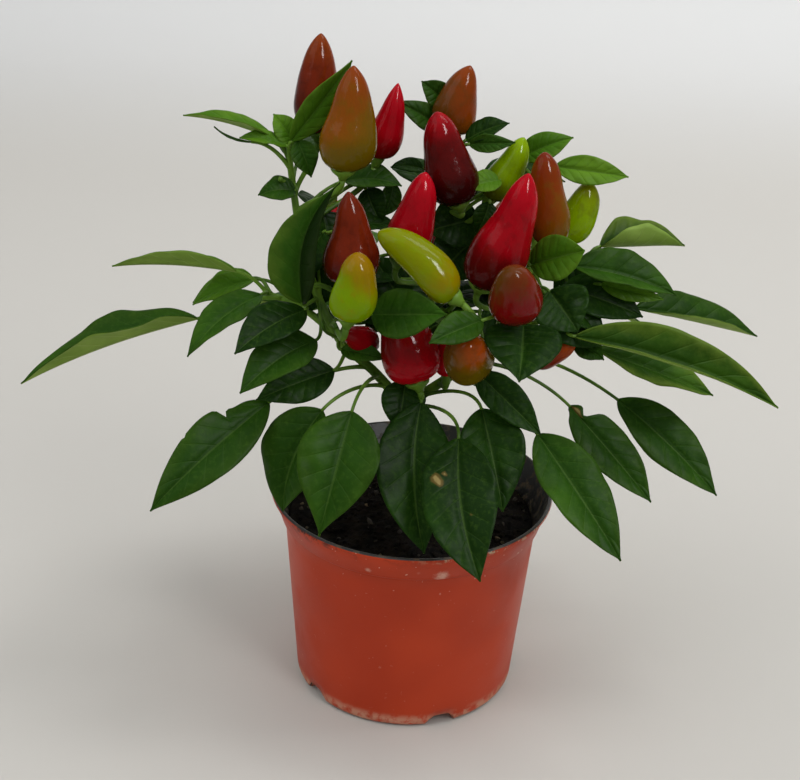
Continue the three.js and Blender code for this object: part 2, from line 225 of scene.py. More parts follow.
def rise(value, low, high):
    """0 below low and 1 above high, with a smooth step between. It falls when high is below low."""
    node = new_node(value, "MapRange")
    node.interpolation_type = "SMOOTHSTEP"
    falls = float(high < low)
    wire(value, node.inputs["Value"])
    ends = {"From Min": min(low, high), "From Max": max(low, high), "To Min": falls, "To Max": 1 - falls}
    for name, end in ends.items():
        node.inputs[name].default_value = end
    return node.outputs["Result"]


def mix(share, first, second):
    node = new_node(share, "Mix")
    node.data_type = "RGBA"
    wire(share, node.inputs["Factor"])
    for value, name in ((first, "A_Color"), (second, "B_Color")):
        wire(value, next(socket for socket in node.inputs if socket.identifier == name))
    return node.outputs[2]


def tint(colour, coat, mask, amount=1):
    """Lays a coat of another colour over a colour where the mask is, as thick as the amount says."""
    return mix(mask if amount == 1 else times(mask, amount), colour, coat)


def grain(place, scale, detail=3.0, roughness=0.5):
    node = new_node(place, "TexNoise")
    wire(place, node.inputs["Vector"])
    for name, value in {"Scale": scale, "Detail": detail, "Roughness": roughness}.items():
        node.inputs[name].default_value = value
    return node.outputs["Fac"]


def object_place(shader, centre=(0, 0, 0)):
    """Object coordinates, counted from a centre."""
    mapping = new_node(shader, "Mapping")
    mapping.inputs["Location"].default_value = [-v for v in centre]
    wire(new_node(shader, "TexCoord").outputs["Object"], mapping.inputs["Vector"])
    return mapping.outputs["Vector"]


def split(vector):
    node = new_node(vector, "SeparateXYZ")
    wire(vector, node.inputs[0])
    return node.outputs


def relief(shader, height, depth, strength):
    node = new_node(shader, "Bump")
    wire(height, node.inputs["Height"])
    node.inputs["Distance"].default_value = depth
    node.inputs["Strength"].default_value = strength
    wire(node.outputs[0], shader.inputs["Normal"])


def own_number(shader, name):
    """A number that a piece's mesh holds at each vertex."""
    node = new_node(shader, "Attribute")
    node.attribute_name = name
    return node.outputs["Fac"]


print("helpers are ready")

# %% Floor and backdrop
SWEEP_HALF_WIDTH = 6.0
SWEEP_FRONT = -6.0
SWEEP_BEND = 0.9
SWEEP_BEND_RADIUS = 0.5
SWEEP_TOP = 2.5
SWEEP_STEPS = 16
PAPER_LYING = paint(196, 193, 187)
PAPER_HANGING = paint(219, 219, 218)
PAPER_CHANGE = (0.55, 1.15)


def make_piece(name, mesh_maker, finishes):
    """A new object at the origin whose mesh comes from a bmesh."""
    mesh = bpy.data.meshes.new(name)
    mesh_maker.to_mesh(mesh)
    mesh_maker.free()
    for finish in finishes:
        mesh.materials.append(finish)
    piece = bpy.data.objects.new(name, mesh)
    bpy.context.scene.collection.objects.link(piece)
    for polygon in mesh.polygons:
        polygon.use_smooth = True
    return piece


def sweep_finish():
    """Matt pale paper, a little lighter and cooler where it hangs than where it lies."""
    material, shader = start_finish("paper_sweep", roughness=0.8)
    hanging = rise(split(object_place(shader))[1], *PAPER_CHANGE)
    wire(mix(hanging, PAPER_LYING, PAPER_HANGING), shader.inputs["Base Color"])
    return material


def add_sweep():
    """Floor and backdrop in one: a line that runs back, curves up and rises, drawn out sideways."""
    line = [(SWEEP_FRONT, 0.0)]
    for step in range(SWEEP_STEPS + 1):
        angle = math.pi / 2 * step / SWEEP_STEPS
        back = SWEEP_BEND + SWEEP_BEND_RADIUS * math.sin(angle)
        line.append((back, SWEEP_BEND_RADIUS * (1 - math.cos(angle))))
    line.append((SWEEP_BEND + SWEEP_BEND_RADIUS, SWEEP_TOP))
    sweep = bmesh.new()
    corners = [sweep.verts.new((-SWEEP_HALF_WIDTH, y, z)) for y, z in line]
    edges = [sweep.edges.new(pair) for pair in zip(corners, corners[1:])]
    drawn = bmesh.ops.extrude_edge_only(sweep, edges=edges)
    moved = [v for v in drawn["geom"] if isinstance(v, bmesh.types.BMVert)]
    bmesh.ops.translate(sweep, verts=moved, vec=(2 * SWEEP_HALF_WIDTH, 0, 0))
    bmesh.ops.recalc_face_normals(sweep, faces=sweep.faces)
    make_piece("floor", sweep, [sweep_finish()])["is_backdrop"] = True


add_sweep()
print("the sweep stands behind the plant")

# %% [markdown]
# ## The pot
# A nursery pot is thermoformed or injection-moulded plastic: terracotta colour outside, black inside,
# with a straight lip, a slight taper so that pots stack, and drainage notches round its foot. A spun
# profile suits it best, because the pot is round: one line of points from the middle of the underside,
# up the outside, over the rim and down the inside. Faces outside the middle of the wall get the
# terracotta finish, and the rest the black one. The notches are pushed up into the foot afterwards.

# %% Pot sizes
POT_HEIGHT = 77
RIM_RADIUS = 50.5
LIP_HEIGHT = 10.5
LIP_FOOT = POT_HEIGHT - LIP_HEIGHT
LIP_FOOT_RADIUS = 47
BODY_TOP_RADIUS = 45.6
FOOT_RADIUS = 40.7
FOOT_ROUNDING = 2.5
WALL = 1.3
FLOOR = 2
NOTCHES = 5
NOTCH_WIDTH = 10
NOTCH_HEIGHT = 4.6
NOTCH_REACH = 7
FIRST_NOTCH = math.radians(-70)
POT_SEGMENTS = 180
TAPER = BODY_TOP_RADIUS - FOOT_RADIUS


def pot_profile():
    """(radius, height) round the pot's section, in millimetres."""
    centre = FOOT_RADIUS - FOOT_ROUNDING
    line = [(0, 0), (centre - NOTCH_REACH, 0), (centre - 4, 0)]
    for step in range(7):
        angle = math.pi / 2 * step / 6
        line.append((centre + FOOT_ROUNDING * math.sin(angle), FOOT_ROUNDING * (1 - math.cos(angle))))
    for step in range(1, 12):
        share = step / 12
        line.append((FOOT_RADIUS + TAPER * share, FOOT_ROUNDING + (LIP_FOOT - FOOT_ROUNDING) * share))
    return line + [
        (BODY_TOP_RADIUS, LIP_FOOT - 0.5),
        (BODY_TOP_RADIUS + 0.3, LIP_FOOT),
        (LIP_FOOT_RADIUS - 0.4, LIP_FOOT + 0.1),
        (LIP_FOOT_RADIUS, LIP_FOOT + 0.6),
        (LIP_FOOT_RADIUS + 1.3, LIP_FOOT + 5),
        (RIM_RADIUS, POT_HEIGHT - 1.1),
        (RIM_RADIUS - 0.1, POT_HEIGHT - 0.4),
        (RIM_RADIUS - 0.4, POT_HEIGHT),
        (RIM_RADIUS - WALL + 0.2, POT_HEIGHT),
        (RIM_RADIUS - WALL - 0.1, POT_HEIGHT - 0.5),
        (LIP_FOOT_RADIUS - WALL, LIP_FOOT + WALL),
        (BODY_TOP_RADIUS - WALL, LIP_FOOT - WALL),
        (FOOT_RADIUS - WALL, FLOOR + 4),
        (FOOT_RADIUS - 2 * WALL - 1, FLOOR + 2.2),
        (FOOT_RADIUS - NOTCH_REACH - 4, FLOOR),
        (0, FLOOR),
    ]


print("pot profile:", len(pot_profile()), "points")

# %% Pot finishes
# middle and reach of each, in millimetres: a lime splash, two specks and a rubbed patch
SMUDGES = [((11, -46.8, 68), 3.4), ((-14, -46, 69), 1.5), ((3, -47, 70.5), 1.2), ((24, -41.5, 67.5), 1.8)]
# heights in metres at which the foot starts to look worn or dirty, the rim grimy (with painted shade) or
# crusted (with painted light)
WORN_FOOT = (0.0065, 0.003)
DIRTY_FOOT = (0.004, 0.0005)
RIM_GRIME_AND_SHADE = (0.0705, 0.0765)
RIM_CRUST_AND_LIGHT = (0.0738, 0.0768)


def smudge(place, middle, reach, ragged=0.5):
    """A mask that is 1 at one place on the pot, in metres, and fades out raggedly within its reach."""
    offset = new_node(place, "VectorMath")
    offset.operation = "DISTANCE"
    wire(place, offset.inputs[0])
    offset.inputs[1].default_value = middle
    away = plus(offset.outputs["Value"], times(grain(place, 700, 4, 0.65), ragged * 2 * reach))
    return rise(away, reach * (1 + ragged), reach * ragged)


def patchy_band(place, heights, patches, low, high):
    """A mask round the pot that starts at the first height and is full at the second, in patches."""
    return times(rise(split(place)[2], *heights), rise(patches, low, high))


def terracotta_plastic():
    material, shader = start_finish("terracotta_plastic", gloss=0.22)
    place = object_place(shader)
    x, _, z = split(place)
    colour = mix(rise(grain(place, 22, 2), 0.35, 0.65), paint(170, 50, 15), paint(184, 58, 20))
    worn = patchy_band(place, WORN_FOOT, grain(place, 330, 4, 0.6), 0.36, 0.6)
    colour = tint(colour, paint(196, 142, 116), worn, 0.85)
    dirt = patchy_band(place, DIRTY_FOOT, grain(place, 150, 4), 0.5, 0.65)
    colour = tint(colour, paint(96, 74, 52), dirt, 0.7)
    near_lip = rise(z, 0.055, 0.070)
    dust = times(rise(grain(place, 520, 2), 0.7, 0.74), plus(times(near_lip, 0.7), 0.12))
    for middle, reach in SMUDGES:
        dust = calc("MAXIMUM", dust, times(smudge(place, at(middle), reach * MM), 0.75))
    colour = tint(colour, paint(222, 188, 168), dust)
    grime_and_shade = patchy_band(place, RIM_GRIME_AND_SHADE, grain(place, 240, 5, 0.7), 0.47, 0.6)
    # painted shade: the dark rim grime is made four times as strong on the left, the side away from the light
    left = plus(times(rise(x, -0.010, -0.040), 0.75), 0.25)
    colour = tint(colour, paint(52, 28, 18), times(grime_and_shade, left))
    # painted light: the pale crust on the rim's top is laid only on the right, the lit side
    crust_and_light = patchy_band(place, RIM_CRUST_AND_LIGHT, grain(place, 380, 5, 0.7), 0.5, 0.6)
    colour = tint(colour, paint(176, 156, 126), times(crust_and_light, rise(x, -0.005, 0.02)))
    wire(colour, shader.inputs["Base Color"])
    scuff = times(rise(grain(place, 60, 4), 0.4, 0.7), 0.14)
    wire(plus(plus(scuff, 0.36), times(worn, 0.3)), shader.inputs["Roughness"])
    relief(shader, grain(place, 900, 2), 0.00005, 0.35)
    return material


def black_plastic():
    material, shader = start_finish("black_plastic")
    place = object_place(shader)
    crumbs = rise(grain(place, 260, 5, 0.65), 0.5, 0.62)
    wire(tint(paint(26, 23, 21), paint(84, 68, 50), crumbs, 0.85), shader.inputs["Base Color"])
    wire(plus(times(crumbs, 0.4), 0.42), shader.inputs["Roughness"])
    relief(shader, grain(place, 500, 4), 0.0001, 0.4)
    return material


TERRACOTTA = terracotta_plastic()
BLACK_PLASTIC = black_plastic()
print("pot finishes:", TERRACOTTA.name, BLACK_PLASTIC.name)


# %% Pot
def spin_into(body, line, segments):
    """Spins a line of (radius, height) in millimetres about Z, and gives back the vertices it made."""
    before = set(body.verts)
    corners = [body.verts.new((radius * MM, 0, height * MM)) for radius, height in line]
    edges = [body.edges.new(pair) for pair in zip(corners, corners[1:])]
    bmesh.ops.spin(
        body, geom=corners + edges, cent=(0, 0, 0), axis=UP, angle=2 * math.pi, steps=segments, use_merge=True
    )
    made = [v for v in body.verts if v not in before]
    bmesh.ops.remove_doubles(body, verts=made, dist=1e-6)
    return [v for v in made if v.is_valid]


def spin_profile(line, segments):
    """A closed body of revolution of its own."""
    body = bmesh.new()
    spin_into(body, line, segments)
    bmesh.ops.recalc_face_normals(body, faces=body.faces)
    return body


def is_outside(middle):
    """True for a face of the pot's outer side, given the middle of the face in millimetres."""
    radius, height = math.hypot(middle.x, middle.y), middle.z
    wall_middle = FOOT_RADIUS - WALL / 2 + TAPER * height / LIP_FOOT
    in_lip = height > LIP_FOOT - 0.1
    if in_lip:
        share = (height - LIP_FOOT) / LIP_HEIGHT
        wall_middle = LIP_FOOT_RADIUS - WALL * 0.4 + (RIM_RADIUS - LIP_FOOT_RADIUS) * share
    return height < POT_HEIGHT - 0.25 and (height < 0.3 or radius > wall_middle)


def press_notches(pot):
    """Pushes the foot up into an arch at each drainage notch."""
    spacing = 2 * math.pi / NOTCHES
    for corner in pot.verts:
        radius, height = math.hypot(corner.co.x, corner.co.y) / MM, corner.co.z / MM
        in_foot = height < FOOT_ROUNDING * 1.01 and radius > FOOT_RADIUS - NOTCH_REACH - 3
        inner_floor = height > 1.9 and radius < FOOT_RADIUS - 3
        if in_foot and not inner_floor:
            angle = math.atan2(corner.co.y, corner.co.x) - FIRST_NOTCH
            across = abs((angle + spacing / 2) % spacing - spacing / 2) * FOOT_RADIUS / (NOTCH_WIDTH / 2)
            arch = math.sqrt(max(0, 1 - across**4))
            corner.co.z += max(0, NOTCH_HEIGHT * arch - max(0, height)) * MM


def make_pot():
    pot = spin_profile(pot_profile(), POT_SEGMENTS)
    for face in pot.faces:
        face.material_index = 0 if is_outside(face.calc_center_median() / MM) else 1
    press_notches(pot)
    piece = make_piece("pot_shell", pot, [TERRACOTTA, BLACK_PLASTIC])
    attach(piece, "root")
    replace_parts(piece, "pot")
    return piece


pot_shell = make_pot()
print("pot faces:", len(pot_shell.data.polygons))

# %% [markdown]
# ## The soil
# The pot holds dark peat compost that has settled about a centimetre below the rim. Up close it is all
# crumbs and short fibres. The body of it is a spun disc whose top is pushed up and down by fractal
# noise, and a few hundred small lumps lie on it, each a squashed ball of very few faces.

# %% Soil finishes
def peat():
    material, shader = start_finish("peat", roughness=0.92, gloss=0.1)
    place = object_place(shader)
    coarse = grain(place, 180, 6, 0.7)
    fine = grain(place, 900, 4, 0.7)
    colour = mix(rise(coarse, 0.35, 0.7), paint(9, 7, 6), paint(30, 22, 16))
    wire(tint(colour, paint(60, 48, 32), rise(fine, 0.68, 0.74)), shader.inputs["Base Color"])
    relief(shader, plus(coarse, times(fine, 0.5)), 0.0012, 0.9)
    return material


def bark_bits():
    material, shader = start_finish("bark_bits", roughness=0.85)
    place = object_place(shader)
    colour = mix(rise(grain(place, 70, 2), 0.45, 0.62), paint(40, 30, 20), paint(112, 92, 62))
    wire(colour, shader.inputs["Base Color"])
    relief(shader, grain(place, 1500, 3), 0.0002, 0.6)
    return material


PEAT = peat()
BARK = bark_bits()
print("soil finishes:", PEAT.name, BARK.name)

# %% Soil
SOIL_LEVEL = 66
SOIL_RINGS = 54
SOIL_SEGMENTS = 150
SOIL_GAP = 0.35
CRUMBS = 620
CRUMB_SIZES = (0.35, 1.15)
BARK_SHARE = 0.09


def soil_height(x, y):
    """Height of the compost above its mean level, in millimetres, at a place in millimetres."""
    from_middle = math.hypot(x, y) / (BODY_TOP_RADIUS - WALL)
    place = Vector((x, y, 0))
    lumps = 1.5 * noise.fractal(place * 0.09, 0.8, 2.1, 4) + 0.9 * noise.fractal(place * 0.45, 0.7, 2.2, 4)
    return lumps * (1 - 0.45 * from_middle) + 0.9 * math.cos(math.pi * min(1, from_middle))


def make_soil():
    foot = FOOT_RADIUS - WALL - SOIL_GAP
    edge = foot + TAPER / (LIP_FOOT - FOOT_ROUNDING) * (SOIL_LEVEL - FOOT_ROUNDING)
    low = FLOOR + 6
    line = [(0, FLOOR + 0.3), (FOOT_RADIUS - 12, FLOOR + 0.3), (foot - 1, low)]
    for step in range(1, 9):
        line.append((foot + (edge - foot) * step / 8, low + (SOIL_LEVEL - low) * step / 8))
    for ring in range(1, SOIL_RINGS + 1):
        line.append((edge * (1 - ring / SOIL_RINGS), SOIL_LEVEL))
    soil = spin_profile(line, SOIL_SEGMENTS)
    for corner in soil.verts:
        if corner.co.z > (SOIL_LEVEL - 0.01) * MM:
            corner.co.z += soil_height(corner.co.x / MM, corner.co.y / MM) * MM
    piece = make_piece("compost", soil, [PEAT])
    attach(piece, "root")
    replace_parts(piece, "soil")
    return piece


def make_crumbs():
    """Lumps of peat and bark strewn evenly over the compost."""
    draw = random.Random(11)
    lumps = bmesh.new()
    for _ in range(CRUMBS):
        angle = draw.uniform(0, 2 * math.pi)
        radius = (BODY_TOP_RADIUS - WALL - 1.5) * math.sqrt(draw.uniform(0.01, 0.97))
        x, y = radius * math.cos(angle), radius * math.sin(angle)
        size = draw.uniform(*CRUMB_SIZES) * (1.35 if draw.random() < 0.15 else 1)
        corners = bmesh.ops.create_icosphere(lumps, subdivisions=1, radius=size * MM)["verts"]
        long = draw.uniform(1, 2.6) if draw.random() < 0.35 else draw.uniform(0.8, 1.4)
        for corner in corners:
            corner.co.x *= long * draw.uniform(0.85, 1.15)
            corner.co.y *= draw.uniform(0.7, 1.1)
            corner.co.z *= draw.uniform(0.5, 0.9)
        turn = Euler((draw.uniform(-0.4, 0.4), draw.uniform(-0.4, 0.4), draw.uniform(0, 6.3))).to_matrix()
        bmesh.ops.rotate(lumps, verts=corners, cent=(0, 0, 0), matrix=turn)
        height = SOIL_LEVEL + soil_height(x, y) + size * 0.25
        bmesh.ops.translate(lumps, verts=corners, vec=at((x, y, height)))
        bark = draw.random() < BARK_SHARE
        for face in {f for corner in corners for f in corner.link_faces}:
            face.material_index = 1 if bark else 0
    piece = make_piece("compost_crumbs", lumps, [PEAT, BARK])
    for polygon in piece.data.polygons:
        polygon.use_smooth = False
    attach(piece, "root")
    return piece


compost = make_soil()
compost_crumbs = make_crumbs()
print("compost faces:", len(compost.data.polygons), "crumb faces:", len(compost_crumbs.data.polygons))

# %% [markdown]
# ## How the plant is written down
# The plant is a few tables: branches, fruits, leaf blades, and the small leaves between them. Each fruit
# or leaf row says which branch it grows on and how far along, where it starts and ends, and how wide
# it is. Everything else, such as the stalk that joins it to its branch, follows from the row.

# %% Branches
FORK = (-4, -5, 111)
LEFT_FORK = (-28, -8, 138)
RIGHT_FORK = (27, -4, 137)
BACK_FORK = (-6, 10, 123)
BRANCHES = {
    "trunk": (3, 2.3, [(3, 0, 56), (1, -1, 78), (-1, -3, 96), FORK]),
    "left": (1.8, 1.1, [FORK, (-15, -8, 125), LEFT_FORK, (-39, -5, 164), (-45, -1, 198)]),
    "centre": (1.8, 1, [FORK, (2, 1, 134), (5, 7, 162), (8, 10, 190)]),
    "right": (1.8, 1.1, [FORK, (12, -6, 124), RIGHT_FORK, (36, 4, 158), (39, 10, 188)]),
    "outer_left": (1.4, 1, [LEFT_FORK, (-40, -5, 146), (-52, -1, 149)]),
    "outer_right": (1.5, 1.1, [RIGHT_FORK, (42, 2, 143), (57, 6, 150)]),
    "back": (1.7, 1, [FORK, BACK_FORK, (-12, 24, 136), (-16, 34, 150)]),
    "back_right": (1.4, 1, [BACK_FORK, (6, 22, 131), (18, 32, 141)]),
}


def smooth_line(points, steps):
    """Places evenly spread along a smooth line through the points (a Catmull-Rom curve)."""
    line = [Vector(p) for p in points]
    ends = [2 * line[0] - line[1]] + line + [2 * line[-1] - line[-2]]
    dense = []
    for a, b, c, d in zip(ends, ends[1:], ends[2:], ends[3:]):
        for t in (step / 12 for step in range(12)):
            bent = (2 * a - 5 * b + 4 * c - d) * t * t + (3 * b - a - 3 * c + d) * t**3
            dense.append(0.5 * (2 * b + (c - a) * t + bent))
    return spread(dense + [line[-1]], steps)


def spread(dense, steps):
    """The same line with its points an equal distance apart."""
    lengths = [0.0]
    for first, second in zip(dense, dense[1:]):
        lengths.append(lengths[-1] + (second - first).length)
    places, piece = [], 0
    for step in range(steps + 1):
        wanted = lengths[-1] * step / steps
        while piece < len(lengths) - 2 and lengths[piece + 1] < wanted:
            piece += 1
        span = lengths[piece + 1] - lengths[piece] or 1
        places.append(dense[piece].lerp(dense[piece + 1], (wanted - lengths[piece]) / span))
    return places


BRANCH_LINES = {name: smooth_line(points, 100) for name, (_, _, points) in BRANCHES.items()}
print("branches:", ", ".join(BRANCH_LINES))

# %% Fruits
# name: branch, share along it, seat on the calyx, tip, width, bluntness
FRUITS = {
    "top_left_brown": ("left", 0.86, (-36, 7, 203), (-35.5, 7, 235), 16, 0.6),
    "top_left_olive": ("left", 0.8, (-26.5, -14, 197), (-24, -14, 230), 18.6, 0.5),
    "top_left_red": ("left", 0.72, (-16.5, 8, 195), (-10.5, 8, 220), 12, 0.3),
    "top_middle_brown": ("centre", 0.96, (8, 14, 203), (12.5, 13, 225.5), 15, 0.6),
    "top_middle_maroon": ("centre", 0.84, (11, -2, 184), (2, -3, 214), 17.6, 0.9),
    "top_right_lime": ("centre", 0.7, (21, 4, 184), (31, 4, 205), 12, 0.8),
    "right_red": ("right", 0.5, (19, -15, 160.5), (31.5, -19, 200), 19.6, 0.6),
    "right_brown": ("right", 0.75, (42, -5, 172), (37, -5, 203), 14.2, 1.1),
    "right_yellow": ("right", 0.8, (47, 11, 168), (55, 11, 189), 13, 1),
    "middle_red": ("centre", 0.5, (-8, -14, 168), (-0.5, -14, 197.5), 15, 0.8),
    "middle_slanting": ("centre", 0.3, (10, -35, 164), (-14.5, -29, 182.5), 13.4, 1.2),
    "left_brown": ("left", 0.55, (-23.5, -18, 161), (-24.5, -20, 192), 19, 0.35),
    "front_lime": ("left", 0.4, (-23, -37, 156), (-20, -38, 178.5), 15, 1.1),
    "right_round": ("right", 0.55, (30, -29, 158), (27, -45, 177), 17.4, 1),
    "low_dark_red": ("centre", 0.1, (0, -22, 128), (-9, -14, 155), 19.5, 0.9),
    "low_orange": ("right", 0.3, (16, -26, 137), (15, -43, 151.5), 17, 0.9),
    "low_small_red": ("right", 0.15, (9.5, -13.6, 127), (8.5, -12.6, 144), 7.8, 0.6),
    "low_left_red": ("left", 0.25, (-16, -9, 135.5), (-24.5, -22, 145), 10, 0.6),
    "inner_red": ("centre", 0.5, (7, 15, 160), (6, 15, 174), 8, 0.6),
    "under_right": ("right", 0.35, (38, -10, 133), (52, -14, 141), 11, 0.7),
    "back_red": ("back", 0.95, (-27, 36, 140), (-31, 38, 170), 16, 0.5),
    "back_olive": ("back_right", 0.95, (25, 38, 145), (31, 41, 174), 16, 0.6),
}
FRUIT_SHOULDER = 0.27
FRUIT_SEAT = 0.34
FRUIT_TAPER = 1.2
FRUIT_POINT = 0.82
FRUIT_POINT_LOSS = 0.22
print("fruits:", len(FRUITS))

# %% Leaf blades
# name: branch, share along it, start, tip, width, arch, the way the upper face looks, shade,
# and what is unusual: bend, fold in degrees, or widest as a share of the length
LEAVES = {
    "front_1": ("trunk", 0.98, (14, -37, 116), (22, -70, 82.5), 25, 4, (-0.3, -1, 0.8), "dark", {"bend": -2}),
    "front_2": ("trunk", 0.9, (1.5, -24, 122), (4.5, -51, 80), 25, 4, (0, -1, 0.8), "dark", {"bend": -3}),
    "front_3": ("right", 0.05, (21.5, -24, 120.5), (29.5, -45, 93.5), 22, 3, (0.1, -1, 0.8), "dark", {}),
    "front_4": ("right", 0.2, (19, -20, 132), (41, -34, 116.5), 13, 1, (0.3, -1, 0.5), "dark", {}),
    "front_right_1": ("right", 0.2, (40, -30, 115), (67, -60, 86), 21, 3, (0, -1, 1), "mid", {}),
    "front_right_2": ("right", 0.3, (52, -12, 117), (80, -32, 92), 17, 2, (0, -1, 1), "mid", {}),
    "front_right_3": ("right", 0.35, (71, 5, 112), (106, -15, 86), 19, 3, (0, -0.6, 1), "mid", {}),
    "front_left_1": (
        "left", 0.15, (-21, -35, 123), (-30, -53, 86), 27, 4, (0, -1, 0.6), "mid",
        {"widest": 0.36},
    ),
    "front_left_2": (
        "left", 0.1, (-31, -27, 119), (-43, -38, 86), 25, 4, (-0.5, -1, 0.6), "mid",
        {"bend": -2},
    ),
    "front_left_3": ("left", 0.2, (-49, -23, 119), (-85, -50, 91), 20, 4, (-0.2, -1, 0.8), "mid", {}),
    "left_1": ("left", 0.3, (-28, -15, 128), (-53, -27, 121.5), 15, 2, (0, -1, 0.8), "dark", {}),
    "left_2": ("left", 0.5, (-34, -18, 140), (-57, -38, 129), 17, 4, (0, -0.5, 1), "mid", {}),
    "left_3": ("outer_left", 0.5, (-38, -14, 149), (-59, -34, 141), 16, 3, (0, -0.5, 1), "dark", {}),
    "left_4": ("outer_left", 1, (-53, -7, 151), (-75, -29, 137), 15, 4, (0, -0.2, 1), "mid", {}),
    "left_5": ("outer_left", 1, (-62, 0, 156), (-106, 8, 153), 12, 2, (0, 0.5, 1), "bright", {"fold": 30}),
    "left_6": ("outer_left", 0.95, (-58, 10, 150), (-81, 22, 135), 13, 2, (0, -0.5, 1), "bright", {}),
    "far_left": (
        "outer_left", 0.8, (-75, -4, 140), (-134, -15, 118), 22, 3, (0, 0.1, 1), "mid",
        {"fold": 42},
    ),
    "middle_1": ("left", 0.35, (-16, -30, 155), (7.5, -43, 161.5), 16.5, 0.5, (0, -1, 0.6), "mid", {}),
    "middle_2": ("right", 0.4, (19, -38, 158), (2.5, -49.5, 154.5), 11, 1, (0, -1, 1), "mid", {}),
    "middle_3": ("right", 0.45, (33, -26, 152), (31, -48, 142), 25, 2, (0, -1, 0.5), "dark", {}),
    "inner_right": ("right", 0.55, (42, -6, 153.5), (62, -4, 142.5), 17, 2, (0, -0.6, 1), "dark", {}),
    "right_1": (
        "right", 0.6, (34.5, -14, 168), (50, -26, 178), 15, 1, (-0.3, -1, 0.5), "bright",
        {"widest": 0.5},
    ),
    "right_2": (
        "outer_right", 0.95, (60, 12, 166), (90, 17, 166), 20, 1, (0, -0.4, 1), "pale_edged",
        {"fold": 35},
    ),
    "right_3": ("outer_right", 0.8, (50, 0, 163), (86, 0, 154), 17, 3, (0, -0.6, 1), "mid", {"fold": 35}),
    "right_4": ("outer_right", 0.9, (75, 15, 143), (122, 25, 130), 19, 1, (0, -0.6, 1), "mid", {"fold": 32}),
    "far_right": (
        "outer_right", 0.5, (51, -15, 144), (122, -15, 121), 20, 6, (0, -0.7, 1), "pale_edged",
        {"fold": 38},
    ),
    "right_5": (
        "outer_right", 0.6, (61, -2, 134), (104, 3, 116), 17, 1, (0, -0.6, 1), "pale_edged",
        {"fold": 28},
    ),
    "top_right": ("right", 1, (42, 10, 194), (67, 10, 191.5), 10, 1, (0, -1, 0.5), "bright", {}),
    "top_left_1": ("left", 0.97, (-49, -1, 202), (-78, -5, 210), 11, 2, (0, -0.1, 1), "bright", {"fold": 30}),
    "top_left_2": ("left", 0.94, (-44, -4, 202.5), (-25, -3, 229), 11, 1, (0.6, -1, 0.2), "bright", {}),
    "upper_left": (
        "left", 0.5, (-39, -14, 151), (-27, -24, 196), 21, 3, (-0.5, -1, 0.2), "half_shaded",
        {"bend": 5, "fold": 34, "widest": 0.32},
    ),
    "back_1": ("back", 0.5, (-34, 34, 130), (-72, 62, 112), 26, 6, (-0.4, 0.4, 1), "mid", {}),
    "back_2": ("back", 0.7, (-8, 48, 130), (-14, 90, 110), 27, 6, (0, 0.6, 1), "mid", {}),
    "back_3": ("back_right", 0.7, (24, 46, 130), (48, 82, 108), 27, 6, (0.3, 0.5, 1), "mid", {}),
    "back_4": ("back_right", 0.6, (44, 32, 132), (88, 54, 118), 24, 6, (0.3, 0.3, 1), "mid", {}),
}
LEAF_FOLD = 18
LEAF_WIDEST = 0.42
LEAF_RISE = 0.8
print("leaf blades:", len(LEAVES))

